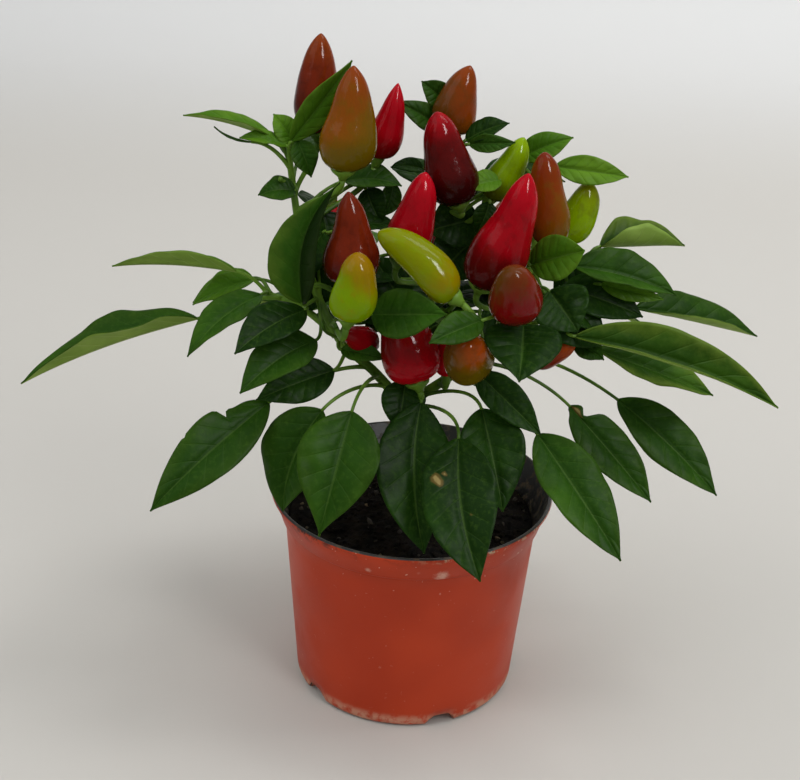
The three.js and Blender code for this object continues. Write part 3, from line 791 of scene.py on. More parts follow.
# %% Small leaves
# The same columns, for leaves too small to be CAD nodes of their own, in groups that number them.
SMALL_LEAVES = {
    "young_leaf": [
        ("left", 0.97, (-43, -1, 201), (-50, 1, 210), 9, 1.5, (0.4, -1, 0.4), "bright", {}),
        ("left", 0.96, (-45, -4, 201), (-60, -7, 204), 8, 1.5, (0, -0.4, 1), "bright", {}),
        ("left", 0.9, (-42, -6, 187), (-54, -9, 186), 10, 2, (0, -0.8, 1), "mid", {}),
        ("left", 0.98, (-42, -3, 203), (-37, -7, 192), 9, 1.5, (0.3, -1, 0.3), "mid", {}),
    ],
    "dried_tip": [
        ("left", 0.95, (-56, -4, 202), (-68, -6, 207), 1.2, -1.5, (0, -0.3, 1), "mid", {}),
    ],
    "crown_leaf": [
        ("left", 0.78, (-27, 7, 187), (-8, 4, 187), 12, 2.5, (0.2, -0.6, 1), "mid", {}),
        ("left", 0.74, (-20, 9, 184), (-14, 2, 174), 12, 1.5, (-0.3, -1, 0.2), "dark", {}),
        ("left", 0.76, (-11, 11, 186), (-14, 7, 175), 8, 1.5, (0.6, -1, 0.2), "mid", {}),
        ("centre", 0.9, (-1, 11, 191), (-12, 8, 192), 7, 1.2, (0, -0.6, 1), "dark", {}),
        ("centre", 1, (6, 19, 211), (-3, 16, 219), 9, 1, (0.3, -1, 0.3), "mid", {}),
        ("centre", 0.96, (5, 17, 203), (-11, 12, 213), 9, 1.5, (0.2, -1, 0.6), "mid", {}),
        ("centre", 0.92, (12, 8, 202), (26, 6, 209), 9, 1.5, (0, -0.7, 1), "dark", {}),
        ("centre", 0.88, (13, 4, 202), (28, 1, 204), 6, 1, (0, -1, 0.3), "mid", {}),
        ("right", 0.98, (31, 15, 195), (48, 14, 203), 10, 2, (0, -0.8, 0.6), "bright", {}),
        ("centre", 0.8, (24, -1, 192), (13, -6, 190), 9, 1, (0, -0.6, 1), "bright", {}),
        ("centre", 0.75, (21, 0, 184), (17, -3, 174), 9, 1.5, (0.3, -1, 0.2), "dark", {}),
    ],
    "shaded_leaf": [
        ("centre", 0.6, (18, 7, 176), (1, 3, 172), 18, 2, (0, -1, 0.5), "dark", {}),
        ("centre", 0.45, (16, 6, 168), (5, -1, 158), 20, 2, (0.2, -1, 0.6), "dark", {}),
        ("left", 0.35, (-26, -16, 136), (-11, -20, 135), 8, 1.5, (0, -0.8, 1), "mid", {}),
        ("left", 0.6, (-33, -5, 173), (-41, -13, 158), 18, 2, (-0.6, -1, 0.2), "dark", {}),
        ("left", 0.62, (-34, 2, 178), (-31, -3, 158), 20, 2, (0.8, -1, 0.1), "dark", {}),
        ("left", 0.5, (-35, 0, 164), (-37, -6, 145), 18, 2, (0.3, -1, 0.2), "dark", {}),
        ("trunk", 0.95, (-4, -16, 126), (-6, -27, 112), 15, 2, (0.1, -1, 0.6), "dark", {}),
        ("outer_right", 0.4, (42, -5, 150), (61, -11, 139), 20, 2, (0, -0.8, 1), "dark", {}),
        ("outer_right", 0.7, (47, 1, 155), (75, -3, 147), 17, 2, (0, -0.8, 1), "dark", {}),
        ("outer_right", 0.5, (52, -8, 139), (62, -13, 135), 9, 1, (0, -0.8, 1), "mid", {}),
        ("outer_right", 0.8, (60, 0, 157), (81, -4, 154), 7, 1.5, (0, -1, 0.4), "bright", {}),
        ("right", 0.6, (42, -8, 157), (52, -16, 146), 20, 2, (0, -1, 0.6), "dark", {}),
        ("outer_left", 0.6, (-57, 6, 151), (-78, 3, 142), 11, 2, (0, -0.4, 1), "bright", {}),
        ("centre", 0.35, (-7, 10, 144), (-17, 12, 159), 18, 2, (0.1, -1, 0.5), "dark", {}),
        ("right", 0.35, (22, 6, 144), (37, 2, 134), 20, 2, (0, -1, 0.7), "dark", {}),
        ("right", 0.7, (47, 8, 146), (66, 14, 159), 20, 2, (0, -0.8, 1), "dark", {}),
    ],
}


def numbered(groups):
    """Names and rows of the groups: a group of one keeps its own name."""
    named = {}
    for kind, rows in groups.items():
        for number, row in enumerate(rows, 1):
            named[f"{kind}_{number}" if len(rows) > 1 else kind] = row
    return named


SMALL_ROWS = numbered(SMALL_LEAVES)
print("small leaves:", len(SMALL_ROWS))

# %% [markdown]
# ## Leaves that nobody placed
# The inside and the back of the plant are full of leaves. Placing them one by one would be tedious and
# would look arranged. A chilli sets each new leaf about 137.5 degrees round the stem from the last one,
# so a loop walks up each branch and does the same, with small random changes in length and droop.

# %% Leaves by rule
GOLDEN_ANGLE = math.radians(137.5)
SPROUT_ARCH = 3
SPROUT_GAPS = (8, 13)
SPROUT_LENGTHS = (22, 32)
SPROUT_SLIMNESS = (0.5, 0.62)
# branch, share of it where the first and the last leaf sprout, how many, shade, and which way is
# inward on an outer branch: its leaves lean to the light in the middle (1 is +X, -1 is -X)
SPROUTS = [
    ("centre", 0.25, 0.95, 8, "dark", 0),
    ("left", 0.3, 0.9, 7, "dark", 1),
    ("right", 0.25, 0.9, 7, "dark", -1),
    ("back", 0.35, 1.0, 7, "mid", 0),
    ("back_right", 0.3, 1.0, 7, "mid", 0),
]


def sprout_rows():
    """Rows for leaves that grow to the sides and the back, away from the fruits in front."""
    draw = random.Random(5)
    rows, heading = {}, 0.0
    for branch, first, last, count, shade, inward in SPROUTS:
        line = BRANCH_LINES[branch]
        for number in range(count):
            heading += GOLDEN_ANGLE
            share = first + (last - first) * number / (count - 1)
            out = Vector((math.cos(heading), abs(math.sin(heading)), 0))
            if inward * out.x < 0:
                out = Vector((-out.x * 0.5, out.y + 0.4, 0)).normalized()
            node = line[int(share * (len(line) - 1))]
            start = node + out * draw.uniform(*SPROUT_GAPS) + UP * draw.uniform(0, 5)
            length = draw.uniform(*SPROUT_LENGTHS)
            tip = start + out * length + UP * draw.uniform(-12, 2)
            width = length * draw.uniform(*SPROUT_SLIMNESS)
            looks = out * 0.4 + Vector((0, -0.2, 1))
            name = f"sprout_{branch}_{number + 1}"
            rows[name] = (branch, share, start, tip, width, SPROUT_ARCH, looks, shade, {})
    return rows


SPROUT_ROWS = sprout_rows()
print("leaves by rule:", len(SPROUT_ROWS))

# %% [markdown]
# ## Leaf finishes
# A chilli leaf is dark and satiny above, paler and duller below. A pale midrib runs from stalk to tip,
# and six or seven side veins a side sweep forward from it; between them the blade is slightly puffed
# up. All of this follows the blade, so it is drawn in the leaf's own UV map, where u runs along the
# midrib and v across. Colour that drifts over the plant uses Object coordinates instead.

# %% Leaf finishes
SIDE_VEINS = 7
VEIN_SWEEP = 0.17
VEIN_CURVE = 0.85
VEIN_STAGGER = 0.45
# dark and bright are partly the leaves' own colour and partly painted light: leaves deep inside the plant
# take the dark finish as painted shade, leaves that should look lit the bright one
# darker and lighter colour, how pale the margin is, and how much painted shade darkens one half
LEAF_SHADES = {
    "dark": (paint(20, 45, 7), paint(36, 70, 12), 0, 0),
    "mid": (paint(32, 64, 9), paint(54, 94, 17), 0.06, 0),
    "bright": (paint(60, 100, 14), paint(94, 134, 28), 0.15, 0),
    "pale_edged": (paint(38, 70, 12), paint(70, 108, 26), 0.5, 0),
    "half_shaded": (paint(42, 80, 14), paint(66, 108, 24), 0.3, 0.92),
}


def vein_graph(shader):
    """Masks for the midrib and the side veins, and a puffiness that is 1 between two side veins."""
    chart = new_node(shader, "UVMap")
    chart.uv_map = "blade"
    along, v, _ = split(chart.outputs[0])
    across = times(calc("ABSOLUTE", calc("SUBTRACT", v, 0.5)), 2)
    midrib = rise(across, 0.055, 0.012)
    swept = calc("SUBTRACT", along, times(calc("POWER", across, VEIN_CURVE), VEIN_SWEEP))
    phase = plus(times(swept, SIDE_VEINS), times(calc("GREATER_THAN", v, 0.5), VEIN_STAGGER))
    wave = times(calc("ABSOLUTE", calc("SUBTRACT", calc("FRACT", phase), 0.5)), 2)
    side = times(rise(wave, 0.86, 0.99), rise(across, 1.0, 0.55))
    puff = times(rise(wave, 1.0, 0.35), rise(across, 0.0, 0.3))
    return v, across, midrib, side, puff


def leaf_upper(name, dark, light, pale_margin, shaded_half):
    material, shader = start_finish(name, gloss=0.05)
    place = object_place(shader)
    v, across, midrib, side, puff = vein_graph(shader)
    fleck = grain(place, 650, 3, 0.6)
    streaks = grain(place, 160, 4, 0.6)
    scar = own_number(shader, "scar")
    cloud = plus(grain(place, 45, 3, 0.55), times(own_number(shader, "tone"), 0.3))
    colour = mix(rise(cloud, 0.42, 0.88), dark, light)
    colour = tint(colour, paint(84, 118, 40), rise(fleck, 0.45, 0.75), 0.15)
    colour = tint(colour, paint(80, 112, 44), side, 0.08)
    colour = tint(colour, paint(104, 138, 62), midrib, 0.2)
    colour = tint(colour, paint(118, 140, 50), rise(plus(across, streaks), 0.85, 1.6), pale_margin)
    # painted shade: one half of the blade is darkened as if the plant's shadow lay on it
    colour = tint(colour, paint(14, 30, 5), rise(v, 0.53, 0.47), shaded_half)
    colour = tint(colour, paint(92, 78, 36), rise(scar, 0.2, 0.45))
    colour = tint(colour, paint(146, 128, 78), rise(scar, 0.5, 0.75))
    wire(colour, shader.inputs["Base Color"])
    wire(plus(times(fleck, 0.16), 0.4), shader.inputs["Roughness"])
    height = calc("SUBTRACT", times(puff, 0.7), plus(side, midrib))
    relief(shader, plus(height, times(streaks, 1.5)), 0.0004, 0.35)
    return material


def leaf_under(name):
    material, shader = start_finish(name, roughness=0.6, gloss=0.12)
    _, _, midrib, side, _ = vein_graph(shader)
    cloud = rise(grain(object_place(shader), 60, 3, 0.55), 0.32, 0.68)
    colour = mix(cloud, paint(112, 142, 52), paint(134, 162, 70))
    colour = tint(colour, paint(148, 174, 92), side, 0.4)
    colour = tint(colour, paint(160, 182, 110), midrib, 0.8)
    wire(colour, shader.inputs["Base Color"])
    relief(shader, plus(side, midrib), 0.0004, 0.5)
    return material


LEAF_FINISHES = {
    shade: (leaf_upper("leaf_upper_" + shade, *looks), leaf_under("leaf_under_" + shade))
    for shade, looks in LEAF_SHADES.items()
}
print("leaf finishes:", ", ".join(LEAF_FINISHES))

# %% [markdown]
# ## Leaf blades
# A blade starts as a flat grid and is moved onto a bent, folded surface: its length follows the midrib,
# its width follows an outline that is round at the base and drawn out to a point, and each half tilts
# up from the midrib. The same surface gives the CAD solid its shape, so the two agree. Small waves at
# the margin and the puffing between the veins are added on top. Solidify then gives the sheet its
# thickness and its underside the paler finish.

# %% Leaf surface
GRID_ALONG = 44
GRID_ACROSS = 16
BLADE_THICKNESS = 0.35
# where something has eaten the margin: place along, side, depth and width as shares
BITES = {
    "leaf_front_left_3_blade": [(0.27, -1, 0.42, 0.018), (0.2, -1, 0.22, 0.08), (0.55, -1, 0.06, 0.01)],
    "leaf_front_right_2_blade": [(0.14, 1, 0.75, 0.05), (0.05, -1, 0.3, 0.03)],
    "leaf_front_1_blade": [(0.62, -1, 0.05, 0.02)],
}
# dry scars: place along and across the blade, and reach, as shares
SCARS = {
    "leaf_front_1_blade": [(0.3, -0.62, 0.026), (0.33, -0.5, 0.022), (0.27, -0.4, 0.014), (0.56, 0.3, 0.012)],
    "leaf_front_right_2_blade": [(0.08, 0.3, 0.05)],
}
TWIST = 0.5
WAVE = 0.26
RIPPLE = 0.1
MIDRIB_GROOVE = 0.09
PUFF = 0.006
# how far each half curls up towards its margin, in radians
PLAIN_ROLLS = (-0.25, -0.25)
ROLLS = {
    "leaf_right_2_blade": (1.9, -0.2),
    "leaf_right_4_blade": (0.9, -0.2),
    "leaf_far_right_blade": (0.5, 0.1),
    "leaf_left_5_blade": (0.3, 0.3),
}


def leaf_outline(share, widest):
    fall = LEAF_RISE * (1 - widest) / widest
    peak = widest**LEAF_RISE * (1 - widest) ** fall
    return (share**LEAF_RISE * (1 - share) ** fall) / peak


def leaf_lines(start, tip, arch, faces, bend):
    """Control points of the midrib, and the direction that the upper face looks."""
    start, tip = Vector(start), Vector(tip)
    chord = (tip - start).normalized()
    face = Vector(faces)
    face = (face - chord * face.dot(chord)).normalized()
    sideways = face.cross(chord)
    middle = start.lerp(tip, 0.5) + face * 2 * arch + sideways * 2 * bend
    return start, middle, tip, face


def blade_point(row, along, across, wave_seed, bites, rolls):
    """A point of the blade in millimetres. along is 0 to 1, across is -1 to 1."""
    _, _, start, tip, width, arch, faces, _, unusual = row
    start, middle, tip, face = leaf_lines(start, tip, arch, faces, unusual.get("bend", 0))
    fold = math.radians(unusual.get("fold", LEAF_FOLD))
    half = max(width * leaf_outline(along, unusual.get("widest", LEAF_WIDEST)), 0.5) / 2
    for bite_along, bite_side, bite_depth, bite_width in bites:
        if across * bite_side > 0:
            half *= 1 - bite_depth * math.exp(-(((along - bite_along) / bite_width) ** 2))
    spine = start.lerp(middle, along).lerp(middle.lerp(tip, along), along)
    tangent = (middle - start).lerp(tip - middle, along).normalized()
    side = face.cross(tangent).normalized()
    normal = tangent.cross(side)
    far = abs(across)
    twist = noise.noise(Vector((wave_seed, 4.2, along * 1.3))) * TWIST * along
    plain_side, turned, kept = side, math.sin(twist), math.cos(twist)
    side, normal = side * kept + normal * turned, normal * kept - plain_side * turned
    roll = rolls[0 if across < 0 else 1] * math.sqrt(math.sin(math.pi * along)) + 1e-4
    out = (math.sin(fold + roll * far) - math.sin(fold)) / roll
    lift = (math.cos(fold) - math.cos(fold + roll * far)) / roll - MIDRIB_GROOVE * math.exp(-12 * far)
    wave = noise.noise(Vector((along * 3.2, across * 0.8, wave_seed))) * WAVE * half * far * far
    wave += noise.noise(Vector((along * 8, across * 2.5, wave_seed + 50))) * RIPPLE * half * far
    phase = (along - VEIN_SWEEP * far**VEIN_CURVE) * SIDE_VEINS + (VEIN_STAGGER if across > 0 else 0)
    puff = PUFF * width * (1 - abs(2 * (phase % 1) - 1) ** 3) * min(1, far * 5) * (1 - far**3)
    return spine + side * half * math.copysign(out, across) + normal * (half * lift + wave + puff)


def make_blade(name, row, seed):
    blade = bmesh.new()
    bmesh.ops.create_grid(blade, x_segments=GRID_ALONG, y_segments=GRID_ACROSS, size=0.5)
    chart = blade.loops.layers.uv.new("blade")
    for face in blade.faces:
        for loop in face.loops:
            loop[chart].uv = (loop.vert.co.x + 0.5, loop.vert.co.y + 0.5)
    tone = blade.verts.layers.float.new("tone")
    scar = blade.verts.layers.float.new("scar")
    bites, rolls = BITES.get(name, []), ROLLS.get(name, PLAIN_ROLLS)
    for corner in blade.verts:
        along, across = corner.co.x + 0.5, corner.co.y * 2
        corner[tone] = seed * 0.137 % 1
        for scar_along, scar_across, reach in SCARS.get(name, []):
            away = math.hypot(along - scar_along, (across - scar_across) * 0.25)
            corner[scar] = max(corner[scar], 1 - away / (2 * reach))
        corner.co = blade_point(row, along, across, seed, bites, rolls) * MM
    piece = make_piece(name, blade, LEAF_FINISHES[row[7]])
    sheet = piece.modifiers.new("thickness", "SOLIDIFY")
    sheet.thickness = BLADE_THICKNESS * MM
    sheet.offset = -1
    sheet.material_offset = 1
    sheet.material_offset_rim = 0
    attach(piece, "root")
    return piece


print("a blade has", GRID_ALONG * GRID_ACROSS, "cells")

# %% Leaves
SEED_STEP = 7.3
FIRST_SMALL_SEED = 300
for number, (name, row) in enumerate(LEAVES.items()):
    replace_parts(make_blade("leaf_" + name + "_blade", row, number * SEED_STEP), "leaf_" + name)
for number, (name, row) in enumerate([*SMALL_ROWS.items(), *SPROUT_ROWS.items()]):
    make_blade(name, row, FIRST_SMALL_SEED + number * SEED_STEP)
print("blades made:", len(LEAVES) + len(SMALL_ROWS) + len(SPROUT_ROWS))

# %% [markdown]
# ## Stems
# The trunk, the branches and every stalk are green tubes that thin towards their ends and swell a
# little where they fork. A curve with a bevel would do, but a tube of rings bridged one to the next
# stays a plain mesh, can change its radius at every ring, and can be joined with its neighbours in one
# piece, as they grew.


# %% Stem finish
WOODY_HEIGHTS = (0.118, 0.078)


def green_stem():
    material, shader = start_finish("green_stem", gloss=0.15)
    place = object_place(shader)
    colour = mix(rise(grain(place, 70, 3), 0.35, 0.65), paint(56, 88, 18), paint(102, 138, 42))
    woody = rise(split(place)[2], *WOODY_HEIGHTS)
    wire(tint(colour, paint(62, 60, 28), woody, 0.8), shader.inputs["Base Color"])
    stretched = new_node(shader, "Mapping")
    wire(place, stretched.inputs["Vector"])
    stretched.inputs["Scale"].default_value = (1, 1, 0.15)
    relief(shader, grain(stretched.outputs[0], 1300, 3), 0.0002, 0.5)
    return material


GREEN_STEM = green_stem()
print("stem finish:", GREEN_STEM.name)

# %% Tubes and stalks
FRUIT_STALK = 1.1
LEAF_STALK = 0.9
BUD_STALK = 0.5
STALK_STEPS = 12
LEAF_STALK_STEPS = 14
STEM_SIDES = 14
FRUIT_STALK_SIDES = 10
LEAF_STALK_SIDES = 8
# how a stalk bends, as shares of its span: where it leaves, how far it lifts, where it turns to arrive
LEAVING = 0.3
LIFTING = 0.15
ARRIVING = 0.35


def add_tube(body, places, radii, sides):
    """Rings of vertices along the places, bridged one to the next, with the last ends closed."""
    turn = (places[1] - places[0]).to_track_quat("Z", "Y")
    rings = []
    for number, (place, radius) in enumerate(zip(places, radii)):
        ahead = places[min(number + 1, len(places) - 1)] - places[max(number - 1, 0)]
        turn = (turn @ UP).rotation_difference(ahead.normalized()) @ turn
        pose = Matrix.Translation(place * MM) @ turn.to_matrix().to_4x4()
        rings.append(bmesh.ops.create_circle(body, segments=sides, radius=radius * MM, matrix=pose)["verts"])
    for pair in zip(rings, rings[1:]):
        edges = [e for ring in pair for v in ring for e in v.link_edges if e.other_vert(v) in ring]
        bmesh.ops.bridge_loops(body, edges=list(dict.fromkeys(edges)))
    for ring in (rings[0], rings[-1]):
        body.faces.new(ring)


def stalk_line(branch, share, end, direction, steps):
    """A stalk leaves its branch, swings round and arrives at its end in the direction asked for."""
    line = BRANCH_LINES[branch]
    spot = share * (len(line) - 1)
    start = line[int(spot)].lerp(line[min(int(spot) + 1, len(line) - 1)], spot % 1)
    span = (end - start).length
    leaving = start.lerp(end, LEAVING) + UP * span * LIFTING
    arriving = end - direction * span * ARRIVING
    places = []
    for t in (step / steps for step in range(steps + 1)):
        bent = leaving * 3 * t * (1 - t) ** 2 + arriving * 3 * t * t * (1 - t)
        places.append(start * (1 - t) ** 3 + bent + end * t**3)
    return places


def thinning(first, last, count, swell=0.0):
    """Radii from first to last, with a swelling at the first end where the stem forks."""
    return [first + (last - first) * n / (count - 1) + swell * math.exp(-0.9 * n) for n in range(count)]


print("a fruit stalk is", 2 * FRUIT_STALK, "mm thick under its calyx")

# %% Stems
CALYX_DEPTH = 3
CALYX_TEETH = 5
CALYX_SIDES = 15
# flower buds and stalks that have dropped their fruit: branch, share along it, end, bud's radius
BUDS = [
    ("left", 0.3, (-24, -24, 150), 0.9),
    ("left", 0.31, (-27.5, -22, 148), 0.8),
    ("left", 0.32, (-32, -19, 147), 0.7),
    ("right", 0.35, (36, -15, 134), 1),
    ("right", 0.37, (38, -12, 130), 0.8),
    ("centre", 0.7, (0, 4, 186), 0.9),
    ("left", 0.9, (-47, -8, 192), 0.8),
    ("back", 0.8, (-10, 38, 152), 0.9),
    ("back_right", 0.8, (12, 38, 146), 0.9),
]


def stand_at(seat, axis):
    """The pose that sets a thing spun about Z upright on its seat, in millimetres, along an axis."""
    return Matrix.Translation(seat * MM) @ UP.rotation_difference(axis).to_matrix().to_4x4()


def add_calyx(body, seat, axis, width):
    """The green cup that a fruit sits in, its rim turned out a little into blunt teeth."""
    radius = width / 2 * FRUIT_SEAT
    stem = [(0, -3.3), (1.25, -3.25), (1.6, -2.3)]
    cup = [(radius * 1.1, -0.9), (radius * 1.32, 0.4), (radius * 1.24, 0.7), (radius, -0.2), (0, -0.35)]
    made = spin_into(body, stem + cup, CALYX_SIDES)
    for corner in made:
        if corner.co.z > 0.2 * MM:
            corner.co.z += 0.5 * math.cos(CALYX_TEETH * math.atan2(corner.co.y, corner.co.x)) * MM
    bmesh.ops.transform(body, matrix=stand_at(seat, axis), verts=made)


def make_stems():
    body = bmesh.new()
    for name, (first, last, points) in BRANCHES.items():
        steps = 8 * (len(points) - 1)
        fork_swell = 0.0 if name == "trunk" else 0.5
        radii = thinning(first, last * 0.95, steps + 1, fork_swell)
        add_tube(body, smooth_line(points, steps), radii, STEM_SIDES)
    for branch, share, seat, tip, width, _ in FRUITS.values():
        seat, tip = Vector(seat), Vector(tip)
        axis = (tip - seat).normalized()
        places = stalk_line(branch, share, seat - axis * CALYX_DEPTH, axis, STALK_STEPS)
        radii = thinning(FRUIT_STALK * 0.62, FRUIT_STALK, STALK_STEPS + 1, 0.4)
        add_tube(body, places, radii, FRUIT_STALK_SIDES)
        add_calyx(body, seat, axis, width)
    for branch, share, end, bud in BUDS:
        places = stalk_line(branch, share, Vector(end), UP, STALK_STEPS)
        radii = thinning(BUD_STALK * 1.2, BUD_STALK, STALK_STEPS - 2, 0.3) + [bud, bud, bud * 0.5]
        add_tube(body, places, radii, LEAF_STALK_SIDES)
    leaf_rows = [*LEAVES.values(), *SMALL_ROWS.values(), *SPROUT_ROWS.values()]
    for branch, share, start, tip, _, arch, faces, _, unusual in leaf_rows:
        start, middle, _, _ = leaf_lines(start, tip, arch, faces, unusual.get("bend", 0))
        direction = (middle - start).normalized()
        places = stalk_line(branch, share, start + direction * 0.6, direction, LEAF_STALK_STEPS)
        radii = thinning(LEAF_STALK * 0.85, LEAF_STALK * 0.62, LEAF_STALK_STEPS + 1, 0.35)
        add_tube(body, places, radii, LEAF_STALK_SIDES)
    bmesh.ops.recalc_face_normals(body, faces=body.faces)
    piece = make_piece("stems_and_stalks", body, [GREEN_STEM])
    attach(piece, "root")
    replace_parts(piece, "stems")
    return piece


stems_and_stalks = make_stems()
print("stem faces:", len(stems_and_stalks.data.polygons))

# %% [markdown]
# ## Fruit finishes
# A chilli ripens from the sun side and the tip: green turns olive, brown and at last red, so one plant
# carries them all. The skin is thin, smooth and very glossy, with faint dimples. Each fruit's finish
# runs from its stalk end to its tip along a number stored in its mesh, shifted by noise so that no
# band is straight, and a patch of another colour sits on its shaded side: unripe colour where it is
# another hue, painted shade where it is only a darker copy of the skin.

# %% Fruit colours
SKIN_PAINTS = {
    "lime": (112, 142, 1),
    "deep_lime": (80, 96, 3),
    "bright_lime": (128, 160, 2),
    "yellow_green": (118, 126, 1),
    "gold": (140, 104, 2),
    "olive": (98, 80, 4),
    "grey_green": (80, 56, 18),
    "amber": (128, 68, 8),
    "orange": (158, 64, 8),
    "tan": (128, 54, 8),
    "rust": (112, 34, 11),
    "mahogany": (88, 26, 8),
    "dark_brown": (56, 18, 8),
    "maroon": (82, 11, 9),
    "dark_maroon": (48, 8, 7),
    "dark_red": (116, 9, 11),
    "red": (158, 6, 20),
    "scarlet": (176, 8, 26),
}
# name: slot, stalk end, middle, tip, patch colour, direction that the patch looks (the fruit's shaded side),
# how large it is
# a patch that is only a darker copy of the skin is painted shade; one of another hue, such as olive on brown,
# is unripe colour
FRUIT_SKINS = {
    "top_left_brown": ("brown", "maroon", "rust", "tan", "dark_brown", (-1, 0, -0.3), 0.4),
    "top_left_olive": ("olive", "olive", "amber", "tan", "olive", (1, 0, -0.6), 0.7),
    "top_left_red": ("red", "dark_red", "red", "scarlet", "dark_red", (-1, 0, -0.5), 0.3),
    "top_middle_brown": ("brown", "amber", "tan", "tan", "grey_green", (-1, 0, 0), 0.7),
    "top_middle_maroon": ("maroon", "dark_maroon", "maroon", "red", "dark_maroon", (0.6, 0, -1), 0.5),
    "top_right_lime": ("green", "deep_lime", "lime", "bright_lime", "deep_lime", (-1, 0, -0.6), 0.5),
    "right_red": ("red", "maroon", "red", "scarlet", "maroon", (-0.6, 0, -1), 0.5),
    "right_brown": ("brown", "amber", "tan", "rust", "olive", (1, 0, -0.3), 0.5),
    "right_yellow": ("green", "bright_lime", "bright_lime", "yellow_green", "grey_green", (-1, 0, 0.6), 0.4),
    "middle_red": ("red", "red", "red", "scarlet", "dark_red", (-1, 0, -0.6), 0.4),
    "middle_slanting": ("green", "gold", "yellow_green", "yellow_green", "lime", (0, -0.4, -1), 0.4),
    "left_brown": ("brown", "maroon", "rust", "rust", "dark_brown", (-1, 0, 0), 0.3),
    "front_lime": ("green", "lime", "lime", "gold", "gold", (1, 0, 1), 0.5),
    "right_round": ("maroon", "maroon", "dark_red", "rust", "grey_green", (-1, 0, 0.8), 0.35),
    "low_dark_red": ("maroon", "red", "dark_red", "dark_red", "maroon", (-1, 0, 0.3), 0.4),
    "low_orange": ("brown", "olive", "olive", "orange", "grey_green", (-1, 0, 0.1), 0.7),
    "low_small_red": ("red", "red", "red", "red", "dark_red", (-1, 0, 0), 0.3),
    "low_left_red": ("red", "red", "red", "dark_red", "dark_red", (1, 0, -0.5), 0.4),
    "inner_red": ("maroon", "maroon", "dark_red", "dark_red", "maroon", (-1, 0, 0), 0.4),
    "under_right": ("maroon", "rust", "rust", "orange", "mahogany", (0, 0, -1), 0.4),
    "back_red": ("red", "dark_red", "red", "scarlet", "dark_red", (-1, 0, -0.5), 0.4),
    "back_olive": ("olive", "olive", "amber", "tan", "olive", (1, 0, -0.5), 0.5),
}
print("skin colours:", len(SKIN_PAINTS))


# %% Fruit finishes
PATCH_REACH = 9 * MM
PATCH_EDGE = 6 * MM


def fruit_skin(name, centre, looks_row):
    stalk_end, middle, tip, patch_and_shade, shade_side, patch_size = looks_row
    material, shader = start_finish(name, gloss=0.36)
    place = object_place(shader, centre)
    drift = times(calc("SUBTRACT", grain(place, 90, 3), 0.5), 0.5)
    ripe = plus(own_number(shader, "along"), drift)
    stalk_end, middle, tip, patch_and_shade = (paint(*SKIN_PAINTS[part]) for part in (stalk_end, middle, tip, patch_and_shade))
    colour = mix(rise(ripe, 0.05, 0.5), stalk_end, middle)
    colour = tint(colour, tip, rise(ripe, 0.55, 0.98))
    # painted shade: the patch is laid on the fruit's side away from the light, so where its colour is darker
    # it stands for shade
    facing = new_node(shader, "VectorMath")
    facing.operation = "DOT_PRODUCT"
    wire(place, facing.inputs[0])
    facing.inputs[1].default_value = Vector(shade_side).normalized()
    shift = times(calc("SUBTRACT", grain(place, 130, 4), 0.5), 0.007)
    start = PATCH_REACH * (1 - patch_size)
    patch_and_shade_mask = rise(plus(facing.outputs["Value"], shift), start - PATCH_EDGE, start + PATCH_EDGE)
    colour = tint(colour, patch_and_shade, patch_and_shade_mask, 0.85)
    colour = tint(colour, patch_and_shade, rise(grain(place, 260, 5, 0.62), 0.48, 0.66), 0.3)
    wire(colour, shader.inputs["Base Color"])
    dimples = grain(place, 300, 3)
    wire(plus(times(dimples, 0.12), 0.06), shader.inputs["Roughness"])
    shader.inputs["IOR"].default_value = 1.24
    relief(shader, dimples, 0.0006, 0.35)
    return material


print("fruit skins:", len(FRUIT_SKINS))

# %% [markdown]
# ## Fruits
# The fruits are short blunt cones with rounded shoulders, standing upright on their stalks. A profile
# spun about the fruit's axis gives the round form; then the flesh is pushed out into three soft lobes,
# as the seed chambers do, and the tip leans over a little. One level of subdivision smooths it.

# %% Fruit shape
FRUIT_RINGS = 16
FRUIT_SIDES = 24
LOBES = 3
LOBE_DEPTH = 0.025
LUMP_SCALE = 0.13
LUMP_DEPTH = 0.06
PLAIN_FORM = (0.06, (0, 0, 0))
# how far it is drawn in at its waist, as a share, and where its middle is pushed to, in millimetres
FRUIT_FORMS = {
    "top_left_brown": (0.1, (-0.6, 0, 0)),
    "top_left_olive": (0.13, (0.9, 0, 0)),
    "top_left_red": (0.05, (0.8, 0, -0.3)),
    "top_middle_brown": (0.06, (-1.3, 0, 0)),
    "top_middle_maroon": (0.15, (-0.6, 0, 0)),
    "top_right_lime": (0.1, (1.2, 0, 0)),
    "right_red": (0.16, (1.6, 0, -0.5)),
    "right_brown": (0.13, (-0.3, 0, 0)),
    "right_yellow": (0.04, (1.4, 0, 0)),
    "middle_red": (0.1, (1.2, 0, 0)),
    "middle_slanting": (0.06, (1.0, 0, 2.0)),
    "left_brown": (0.19, (1.0, 0, 0)),
    "front_lime": (0.12, (1.0, 0, 0)),
}


def fruit_radius(share, blunt):
    """Share of the full radius at a share of the length: a round shoulder, then a cone that closes."""
    if share < FRUIT_SHOULDER:
        climb = 1 - share / FRUIT_SHOULDER
        return FRUIT_SEAT + (1 - FRUIT_SEAT) * math.sqrt(1 - climb * climb)
    fall = (share - FRUIT_SHOULDER) / (1 - FRUIT_SHOULDER)
    return (1 - fall ** (FRUIT_TAPER + blunt)) ** (FRUIT_POINT - FRUIT_POINT_LOSS * blunt)


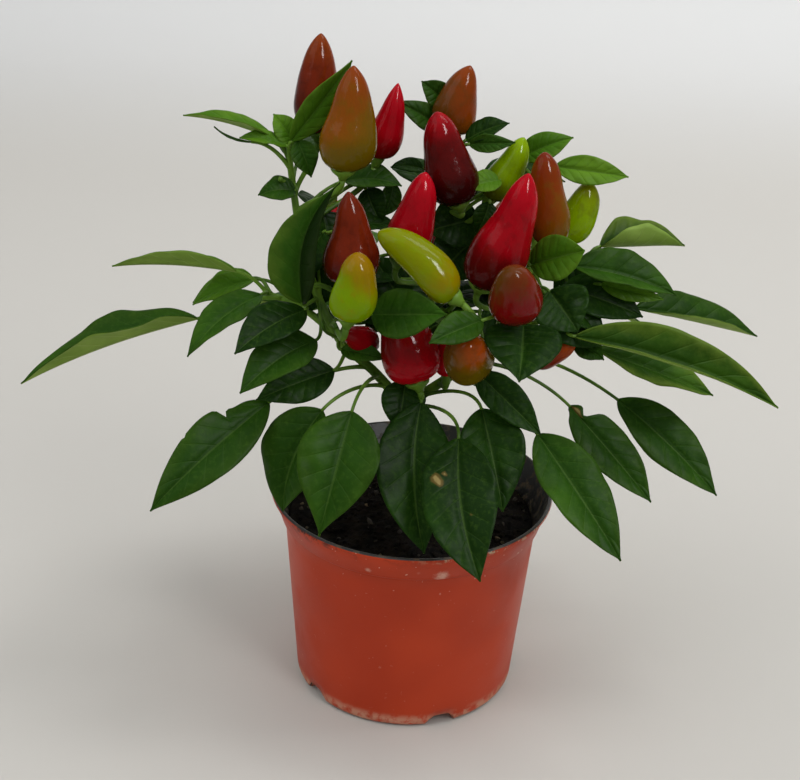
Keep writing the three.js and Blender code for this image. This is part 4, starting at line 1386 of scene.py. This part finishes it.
def fruit_profile(width, length, blunt, waist):
    line = [(0, 0.35)]
    for ring in range(FRUIT_RINGS):
        share = math.sin(math.pi / 2 * ring / FRUIT_RINGS) ** 1.25
        drawn_in = waist * math.sin(math.pi * min(1, max(0, (share - 0.3) / 0.6))) ** 2
        line.append((width / 2 * fruit_radius(share, blunt) * (1 - drawn_in), length * share))
    return line + [(0, length)]


def make_fruit(name, row, skin, seed):
    _, _, seat, tip, width, blunt = row
    waist, push = FRUIT_FORMS.get(name, PLAIN_FORM)
    seat, tip = Vector(seat), Vector(tip)
    length = (tip - seat).length
    fruit = spin_profile(fruit_profile(width, length, blunt, waist), FRUIT_SIDES)
    phase = random.Random(seed).uniform(0, 2 * math.pi)
    share_layer = fruit.verts.layers.float.new("along")
    for corner in fruit.verts:
        share = corner[share_layer] = corner.co.z / (length * MM)
        angle = math.atan2(corner.co.y, corner.co.x)
        lump = LUMP_DEPTH * noise.noise(corner.co / MM * LUMP_SCALE + Vector((seed, 0, 0)))
        lobes = 1 + LOBE_DEPTH * math.cos(LOBES * angle + phase) * (1 - share) + lump
        corner.co.x *= lobes
        corner.co.y *= lobes
    bmesh.ops.transform(fruit, matrix=stand_at(seat, (tip - seat).normalized()), verts=fruit.verts)
    for corner in fruit.verts:
        share = corner[share_layer]
        corner.co += at(push) * 4 * share * (1 - share)
    slot, *looks_row = skin
    finish = fruit_skin(f"fruit_{name}_skin", seat.lerp(tip, 0.45) * MM, looks_row)
    piece = make_piece(f"fruit_{name}_flesh", fruit, [finish])
    smooth = piece.modifiers.new("smooth", "SUBSURF")
    smooth.levels = smooth.render_levels = 1
    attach(piece, "root")
    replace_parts(piece, "fruit_" + name)
    return piece


for seed, (name, row) in enumerate(FRUITS.items()):
    make_fruit(name, row, FRUIT_SKINS[name], seed)
print("fruits made:", len(FRUITS))

# %% Sizes and finish
visual_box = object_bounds()
for name, box in (("CAD", cad_box), ("dressed", visual_box)):
    print(name, "box", [[round(x, 4) for x in v] for v in box])
